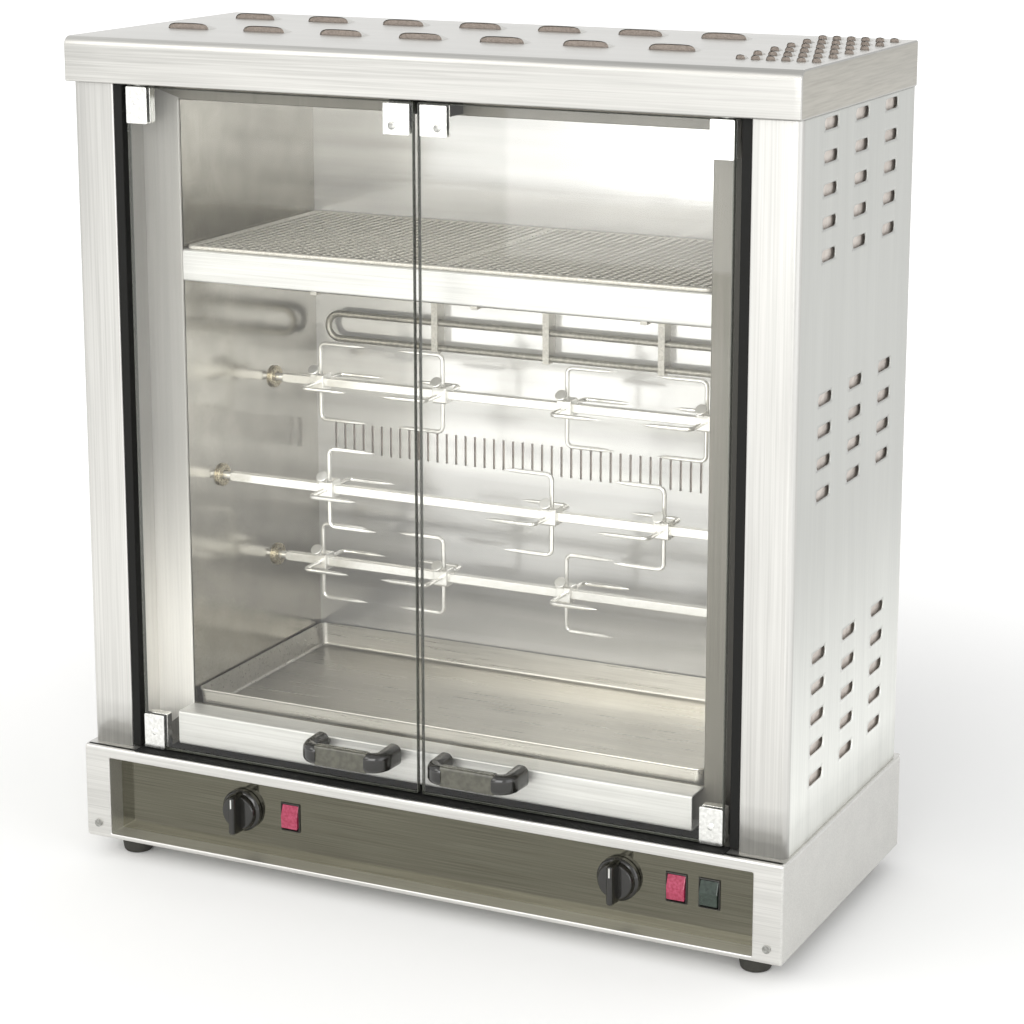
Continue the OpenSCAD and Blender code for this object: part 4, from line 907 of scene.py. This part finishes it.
def makeHeaters():
    h = heaterShape
    low, high = cad("heating_elements")
    r, pin, start, end = h["radius"], h["pin"], high[0] - h["pinLength"], high[0]
    rear = (cad("cavity_back_wall")[1][1] - chamberShape["sheet"] - h["offWall"],
            cad("base_deck")[1][2] + h["rearRise"])
    upper = (cad("base_front")[0][1] + h["upperBack"], cad("shelf_rail")[0][2] - h["underRail"])
    parts = []
    # each element is a hairpin: out, half a turn, and back; the rear one stands and the upper one lies
    for middle, span, way in ((rear, h["rearSpan"], (0, 0, 1)), (upper, h["upperSpan"], (0, 1, 0))):
        middle, way, half = np.array([0.0, *middle]), np.array(way), arc(90, 270, 17)
        bend = np.stack([low[0] + span / 2 + r + span / 2 * np.cos(half), span / 2 * np.sin(half)], -1)
        line = np.concatenate([[[start, span / 2]], bend, [[start, -span / 2]]])
        path = middle + line[:, :1] * np.array([1, 0, 0]) + line[:, 1:] * way
        parts.append(sweep(path, way[[0, 2, 1]], circle(r, 14)))
        for s in (-1, 1):
            pinRows = [[start, 0], [start, pin], [end, pin], [end, 0]]
            parts.append(turned(pinRows, middle + s * span / 2 * way, 0, 10))
    makePiece("heatingTubes", parts, [tubeSteel], "cabinet", ["heating_elements"])


makeOpeningFrame()
makeRails()
makeTray()
makeShelf()
makeHeaters()
print("chamber made")

# a fork is its place as a share of half the chamber, and the way its prongs point
spitShape = {"side": 10.0, "chamfer": 0.9, "pin": 4.5, "pinCorner": 2.4, "pinReach": 13.0, "hub": 20.0,
             "hubLength": 18.0, "hubEdge": 1.2, "hubCorner": 2.6, "reach": 45.0, "prong": 58.0, "rod": 2.5,
             "rodBend": 7.0, "point": 12.0, "pointSize": 0.12, "boreGap": 0.35, "boreDepth": 18.0,
             "forks": {"upper": ((-0.8, 1), (-0.29, -1), (0.21, 1), (0.745, -1)),
                       "middle": ((-0.55, 1), (0.33, -1), (0.75, -1)),
                       "lower": ((-0.8, 1), (-0.29, -1), (0.21, 1))}}
# height over the spit's axis and radius: shank, collar and a domed head
thumbScrew = ((7.2, 0), (7.2, 2.0), (18.5, 2.0), (18.5, 4.6), (21.2, 4.6), (21.4, 6.4), (22.0, 7.0),
              (24.2, 7.0), (25.0, 6.2), (25.2, 0))


def forkParts(x, way, y, z):
    s = spitShape
    h, length = s["hub"] / 2, s["hubLength"] / 2
    parts = [slab([x - length, y - h, z - h], [x + length, y + h, z + h], 0, s["hubEdge"], s["hubCorner"])]
    path = bentPath([[x, y, z + h - 2], [x, y, z + s["reach"]], [x + way * s["prong"], y, z + s["reach"]]],
                    s["rodBend"], 8)
    more = np.linspace(0, 1, 6)[1:-1, None]
    path = np.concatenate([path[:-1], path[-2] + (path[-1] - path[-2]) * more, path[-1:]])
    # the wire tapers to its point over the last stretch
    size = np.clip((s["prong"] - np.abs(path[:, 0] - x)) / s["point"], s["pointSize"], 1.0)
    arm = sweep(path, (0, 1, 0), circle(s["rod"], 10), size)
    parts += [turnPart(arm, 0, 90 * k, (x, y, z)) for k in range(4)]
    return parts + [turnPart(turned(thumbScrew, (x, y, z), 2, 18), 0, 45, (x, y, z))]


def makeSpits():
    s = spitShape
    halfChamber = cad("cavity_floor")[1][0]
    for level in spitLevels:
        low, high = cad(level + "_spit")
        _, y, z = (low + high) / 2
        axis, a, pin, pinEnd = (y, y, z, z), s["side"] / 2, s["pin"], s["pinReach"] - halfChamber
        # a round pin for the bush, then the square bar
        rows = [rim(axis, 4.1, 4.1, low[0]), rim(axis, pin, pin, low[0] + 0.6), rim(axis, pin, pin, pinEnd),
                rim(axis, a, s["pinCorner"], pinEnd + 0.8), rim(axis, a, s["chamfer"], pinEnd + 3.0),
                rim(axis, a, s["chamfer"], high[0])]
        makePiece(level + "SpitBar", [ringSolid(rows, 0)], [spitSteel], level + "_skewer", [level + "_spit"])
        forks = []
        for share, way in s["forks"][level]:
            forks += forkParts(share * halfChamber, way, y, z)
        makePiece(level + "SpitForks", forks, [spitSteel], level + "_skewer", [level + "_forks"])


def makeSpitEnds():
    # brass bushes at the left wall, sockets and their journals at the right one
    wall = cad("cavity_floor")[1][0]
    (outer, _, _), (inner, _, _) = cad("spit_bushes")
    bush = [[outer, 4.7], [outer, 7.6], [outer + 0.4, 8.0], [-wall, 8.0], [-wall, 13.0], [inner - 1.2, 13.0],
            [inner - 0.3, 12.4], [inner, 11.4], [inner, 6.0], [inner - 1.2, 4.7], [outer, 4.7]]
    bushes, count = [], 36
    for level in spitLevels:
        _, y, z = sum(cad(level + "_spit")) / 2
        bushes.append(turned(bush, (0, y, z), 0, count))
        low, high = cad(level + "_socket")
        depth = low[0] + spitShape["boreDepth"]
        h = spitShape["side"] / 2 + spitShape["boreGap"]
        outside = [[high[0], 0.0], [high[0], 7.6], [high[0] - 0.4, 8.0], [wall - 2.0, 8.0],
                   [wall - 2.0, 11.4], [wall - 2.6, 12.0], [low[0] + 1.2, 12.0], [low[0] + 0.3, 11.6],
                   [low[0], 10.8]]
        shell, faces, _ = turned(outside, (0, y, z), 0, count)
        # the front ring is joined to a square bore; points every 10 degrees trim the bore's corners
        turn = np.radians(np.arange(count) * 360.0 / count)
        reach = h / np.maximum(np.abs(np.cos(turn)), np.abs(np.sin(turn)))
        square = np.stack([reach * np.cos(turn) + y, reach * np.sin(turn) + z], -1)
        points = np.concatenate([shell, facing(square, low[0], 0), facing(square, depth, 0)])
        first, last = (len(outside) - 1) * count, (len(outside) + 1) * count
        ring = faces[:-1] + (gridFaces(3, count, False, True) + first).tolist()
        ring.append(list(range(last, last + count)))
        makePiece(level + "SpitSocket", [(points, ring, 0)], [zincPlate], level + "_skewer",
                  [level + "_socket"])
    makePiece("spitBushes", bushes, [turnedBrass], "cabinet", ["spit_bushes"])


makeSpits()
makeSpitEnds()
print("spits made")

doorShape = {"rim": 0.9, "corner": 2.0, "plate": 1.5, "plateHeight": 40.0, "catchOut": 5.0,
             "catchDrop": 7.0, "gripHeight": 23.0, "gripThick": 12.0, "bend": 12.5, "elbow": 16.0,
             "elbowCorner": 7.0, "knuckle": 15.0, "sealClear": 7.0, "rubberDepth": 14.0,
             "underSill": 330.0, "stripThick": 1.5}


def screwHead(x, y, z, radius, rise):
    # low domed head facing the front
    profile = [[y, 0], [y, radius], [y - rise * 0.45, radius], [y - rise * 0.85, radius * 0.72],
               [y - rise, radius * 0.3], [y - rise, 0]]
    return turned(profile, (x, 0, z), 1, 24)


def makeDoor(side):
    # drawn as the right-hand door and mirrored for the left
    d, body = doorShape, side + "_door"

    def addPiece(name, parts, finishes, node):
        makePiece(side + name, mirrored(parts) if side == "left" else parts, finishes, body, [side + node])

    low, high = rightBox(side + "_glass")
    points, faces, _ = slab(low, high, 1, d["rim"], d["corner"])
    # the two big lids are the pane, the rounded rim is ground glass
    addPiece("GlassPane", [(points, faces, [1] * (len(faces) - 2) + [0, 0])], [doorGlass, glassRim], "_glass")

    # hinge plates: a thin cover in front of the glass, a plain block behind it
    (x0, y0, z0), (x1, y1, z1) = rightBox(side + "_hinge_plates")
    cover, tall, parts = y0 + d["plate"], d["plateHeight"], []
    for z in (z0, z1 - tall):
        parts += [slab([x0, y0, z], [x1, cover, z + tall], 1, 0.5, 1.6),
                  slab([x0, high[1], z], [x1, y1, z + tall], 1, 0.8, 1.6),
                  screwHead((x0 + x1) / 2, y0, z + tall / 2, 3.6, 1.2)]
    addPiece("HingePlates", parts, [nickelPlate], "_hinge_plates")

    # catch plate: the same two layers, with a screw low and outward
    (x0, y0, z0), (x1, y1, z1) = rightBox(side + "_catch_plate")
    head = screwHead((x0 + x1) / 2 + d["catchOut"], y0, (z0 + z1) / 2 - d["catchDrop"], 4.2, 1.3)
    parts = [slab([x0, y0, z0], [x1, y0 + d["plate"], z1], 1, 0.5, 1.2),
             slab([x0, high[1], z0], [x1, y1, z1], 1, 0.5, 1.2), (head[0], head[1], 1)]
    addPiece("CatchPlate", parts, [nickelPlate, zincPlate], "_catch_plate")

    # handle: two dark elbows, and a flat grip held between their ends
    (x0, y0, z0), (x1, y1, z1) = rightBox(side + "_handle")
    h, t, e, knuckle = d["gripHeight"], d["gripThick"], d["elbow"], d["knuckle"]
    z, inner, outer, gripY = (z0 + z1) / 2, x0 + 1 + e / 2, x1 - 1 - e / 2, y0 + t / 2 + 1.0
    route = bentPath([[inner, low[1], z], [inner, gripY, z], [inner + knuckle, gripY, z]], d["bend"], 9)
    last = len(route) - 1
    swell = np.interp(np.arange(last + 1), [0, 2, 6, last - 1, last], [1.12, 1.0, 1.0, 1.0, 0.9])
    section = roundedRects([[-e / 2, e / 2, -(h - 1.0) / 2, (h - 1.0) / 2, d["elbowCorner"]]], 6)[0]
    elbow = sweep(route, (0, 0, 1), section, swell)
    other = (elbow[0] * np.array([-1.0, 1, 1]) + np.array([inner + outer, 0, 0]), elbow[1], 0)
    start, end = inner + knuckle - 2.0, outer - knuckle + 2.0
    face = (gripY - t / 2, gripY + t / 2, z - h / 2, z + h / 2)
    rows = [rim(face, -0.8, 2.2, start), rim(face, 0, 3.0, start + 0.9), rim(face, 0, 3.0, end - 0.9),
            rim(face, -0.8, 2.2, end)]
    grip = ringSolid(rows, 0, steps=6, finish=1)
    addPiece("GripHandle", [elbow, other, grip], [phenolicBlack, phenolicGripSheen], "_handle")


def makeSeals():
    d = doorShape
    low, high = cad("door_seals")
    glassLow, glassHigh = cad("right_glass")
    inner, sillBack, strip = glassHigh[0] + d["sealClear"], glassHigh[1], low[2] + d["stripThick"]
    front, split, foot, top = glassLow[1] + 1.0, glassLow[1] + d["rubberDepth"], low[2] + 2.0, high[2] - 0.5
    # black rubber faces the front, on a steel carrier painted with the stile's lit copy, which shows pale
    # from inside
    parts = [slab([inner, front, foot], [high[0], split, top], 2, 0.4, 1.2),
             slab([inner, split, foot], [high[0], high[1], top], 2, 0.2, 0.4, finish=1)]
    # the strip under the sill is a black sheet in the shaded gap beneath the doors: painted shade
    parts += mirrored(parts) + [
        slab([-inner, low[1], low[2]], [inner, sillBack, strip], 2, 0.4),
        slab([-d["underSill"], sillBack, low[2]], [d["underSill"], high[1] - 0.3, strip], 2, 0.2)]
    makePiece("doorSealStrips", parts, [sealBlack, stileLitSteel], "cabinet", ["door_seals"])


makeDoor("left")
makeDoor("right")
makeSeals()
print("doors made")

backShape = {"sheet": 1.2, "pitch": 60.0, "length": 36.0, "height": 8.0, "drop": 56.0, "side": 100.0,
             "coverCorner": 7.0}


def makeBack():
    b, s = backShape, sideShape
    low, high = cad("back_panel")
    halfL, halfH = b["length"] / 2, b["height"] / 2
    count = int((cad("right_side_panel")[1][0] - b["side"]) // b["pitch"])
    middles = b["pitch"] * np.arange(-count, count + 1)[::-1]
    edges = np.concatenate([middles - halfL - s["marginY"], middles + halfL + s["marginY"]])
    across = np.concatenate([[high[0]], np.sort(edges)[::-1], [low[0]]])
    plan = np.stack([across, np.full_like(across, high[1])], -1)
    row = high[2] - b["drop"]
    lines = np.array([low[2], row - halfH - s["marginZ"], row + halfH + s["marginZ"], high[2]])
    points, faces = slottedSkin(plan, lines, np.arange(len(plan) - 1) % 2 == 1,
                                np.array([False, True, False]), halfL, halfH)
    makeSheet("backSheet", (points, faces, 0), [satinUpright], "back_panel", b["sheet"])
    cover = slab(*cad("service_cover"), 1, 0.7, b["coverCorner"], steps=4)
    makePiece("serviceCover", [cover], [brushedAcross], "cabinet", ["service_cover"])


def makeGland():
    low, high = cad("cable_gland")
    x, z, wall = (low[0] + high[0]) / 2, (low[2] + high[2]) / 2, cad("back_panel")[1][1]
    # a six-sided flange outside the wall, a six-sided lock nut inside it, and the ribbed clamping nut
    parts = [turned([[start, 8.2], [start, radius - 0.4], [start + 0.4, radius], [end - 0.8, radius],
                     [end, radius - 1.0], [end, 8.2], [start, 8.2]], (x, 0, z), 1, 6)
             for start, end, radius in ((wall, wall + 4.0, 12.0), (low[1], wall - 1.2, 11.6))]
    nutRows = [[low[1], 5.2], [low[1], 7.7], [wall + 4.0, 7.7], [wall + 4.2, 9.4], [high[1] - 1.6, 9.4],
               [high[1] - 0.5, 8.4], [high[1], 7.0], [high[1], 5.6], [high[1] - 1.2, 5.2], [low[1], 5.2]]
    nut, faces, _ = turned(nutRows, (x, 0, z), 1, 72)
    rows = nut.reshape(len(nutRows), 72, 3)
    # radius = 9.4 + 0.35 * cosine(18 * angle), along the nut's two widest rings
    ribs = 0.35 * np.cos(np.linspace(0, 2 * np.pi, 72, endpoint=False) * 18) / 9.4
    for row in (3, 4):
        rows[row] += (rows[row] - np.array([x, 0, z])) * np.array([1.0, 0, 1.0]) * ribs[:, None]
    parts.append((rows.reshape(-1, 3), faces, 0))
    makePiece("cableGland", parts, [nylonBlack], "cabinet", ["cable_gland"])


def soften(width, *names):
    # welds a node's split corners and rounds its edges, as folded or moulded edges are
    for name in names:
        nodes[name].modifiers.new("weld", "WELD").merge_threshold = 1e-5
        edge = nodes[name].modifiers.new("edges", "BEVEL")
        edge.width = width * 0.001
        edge.segments = 2
        edge.limit_method = "ANGLE"
        edge.angle_limit = math.radians(40)
        edge.harden_normals = True


makeBack()
makeGland()
soften(0.5, "element_clips", "thermostats")
soften(0.4, "panel_screws", "left_handle_screws", "right_handle_screws", "door_magnets", "hinge_pins")
soften(1.2, "terminal_block", "gearmotors")
print("back fittings made")

knobShape = {"radius": 24.0, "skirt": 7.0, "bar": 10.0, "line": 0.9, "lineFoot": 9.0, "lineTop": 20.0}
# one rocker switch: pocket, frame and paddle, with the paddle's axis behind the panel
switchShape = {"width": 20.4, "height": 26.8, "pivot": 4.0, "tip": 2.5, "ridge": 5.5, "tilt": 16.0,
               "sideGap": 0.3, "endGap": 1.6, "rim": 1.6, "wall": 1.6}


def makeKnob(side):
    s, node = knobShape, side + "_knob"
    low, high = cad(node)
    x, z, back, front = (low[0] + high[0]) / 2, (low[2] + high[2]) / 2, high[1], low[1]
    r, b, skirt = s["radius"], s["bar"] / 2, back - s["skirt"]
    body = [[back, 0], [back, r - 0.6], [back - 0.6, r], [skirt + 1.4, r], [skirt, r - 1.2],
            [skirt - 1.2, r * 0.88], [skirt - 5.5, r * 0.84], [skirt - 7.0, r * 0.78], [skirt - 7.4, r * 0.7],
            [skirt - 7.4, 0]]
    # the bar narrows and shortens as it rises; shares are of its rise, its width and its height
    foot = skirt - 1.0
    shares = ((0.0, 1.0, 1.0), (0.4, 0.94, 0.99), (0.8, 0.86, 0.96), (0.94, 0.72, 0.93), (1.0, 0.5, 0.89))
    rows = [[x - b * w, x + b * w, z - (r - 0.5) * h, z + (r - 0.5) * h, b * w * 0.8,
             foot - (foot - front) * t] for t, w, h in shares]
    # pale pointer line let into the top of the bar
    line = slab([x - s["line"], front - 0.05, z + s["lineFoot"]],
                [x + s["line"], front + 1.0, z + s["lineTop"]], 1, 0.2, 0.8, finish=1)
    makePiece(side + "TurnKnob", [turned(body, (x, 0, z), 1, 56), ringSolid(rows, 1, steps=6), line],
              [phenolicBlack, nickelPlate], node, [node])


def makeSwitches():
    c = switchShape
    low, high = cad("switch_bezels")
    front, back, z = low[1], high[1] - 2.0, (low[2] + high[2]) / 2
    frames = []
    for node in ("left_rocker", "right_rocker", "dark_rocker"):
        x = sum(cad(node))[0] / 2
        halfX, halfZ = c["width"] / 2 + c["sideGap"], c["height"] / 2 + c["endGap"]
        pocket = (x - halfX, x + halfX, z - halfZ, z + halfZ)
        out, wall = c["rim"], c["wall"]
        # round the frame's lip, into the pocket, and back along its outside
        table = ((out, 1.6, front + 2.0), (out, 1.6, front + 1.0), (out - 0.3, 1.6, front + 0.3),
                 (out - 1.0, 1.6, front), (0.5, 1.2, front), (0, 0.8, front + 0.8), (0, 0.8, back),
                 (wall, 1.0, back), (wall, 1.0, front + 2.0))
        frames.append(ringSolid([rim(pocket, *row) for row in table], 1, ringed=True))
        lowX, highX, lowZ, highZ = rim(pocket, wall, 0, 0)[:4]
        frames.append(slab([lowX, back, lowZ], [highX, high[1], highZ], 1, 0.3))
    makePiece("switchFrames", frames, [absBlack], "cabinet", ["switch_bezels"])


def makeRocker(side, lens):
    # a paddle in two flat faces that meet at a ridge, tilted by half its travel
    c, node = switchShape, side + "_rocker"
    x, z = sum(cad(node))[0] / 2, sum(cad("switch_bezels"))[2] / 2
    panel = cad("control_panel")[0][1]
    pivot, half, tall = panel + c["pivot"], c["width"] / 2, c["height"]
    outline = np.array([[panel - c["tip"], tall / 2], [panel - c["ridge"], 0.0],
                        [panel - c["tip"], -tall / 2], [pivot + 2.0, -tall * 0.33],
                        [pivot + 2.0, tall * 0.33]])
    # rings shrink towards their middle at both ends, which rounds the paddle's sides
    middle = np.array([pivot, 0.0])
    reach = outline - middle
    length = np.linalg.norm(reach, axis=1, keepdims=True)
    ends = ((0.8, -half), (0.25, 0.25 - half), (0.0, 0.9 - half), (0.0, half - 0.9), (0.25, half - 0.25),
            (0.8, half))
    rings = np.stack([middle + reach * (length - inset) / length + np.array([0.0, z]) for inset, _ in ends])
    paddle = loft(facing(rings, np.array([[x + place] for _, place in ends]), 0))
    paddle = turnPart(paddle, 0, -c["tilt"] / 2, (x, pivot, z))
    makePiece(side + "RockerPaddle", [paddle], [lens], node, [node], crease=20)


makeKnob("left")
makeKnob("right")
makeSwitches()
for side, lens in (("left", lensRed), ("right", lensRed), ("dark", lensGreen)):
    makeRocker(side, lens)
print("controls made")
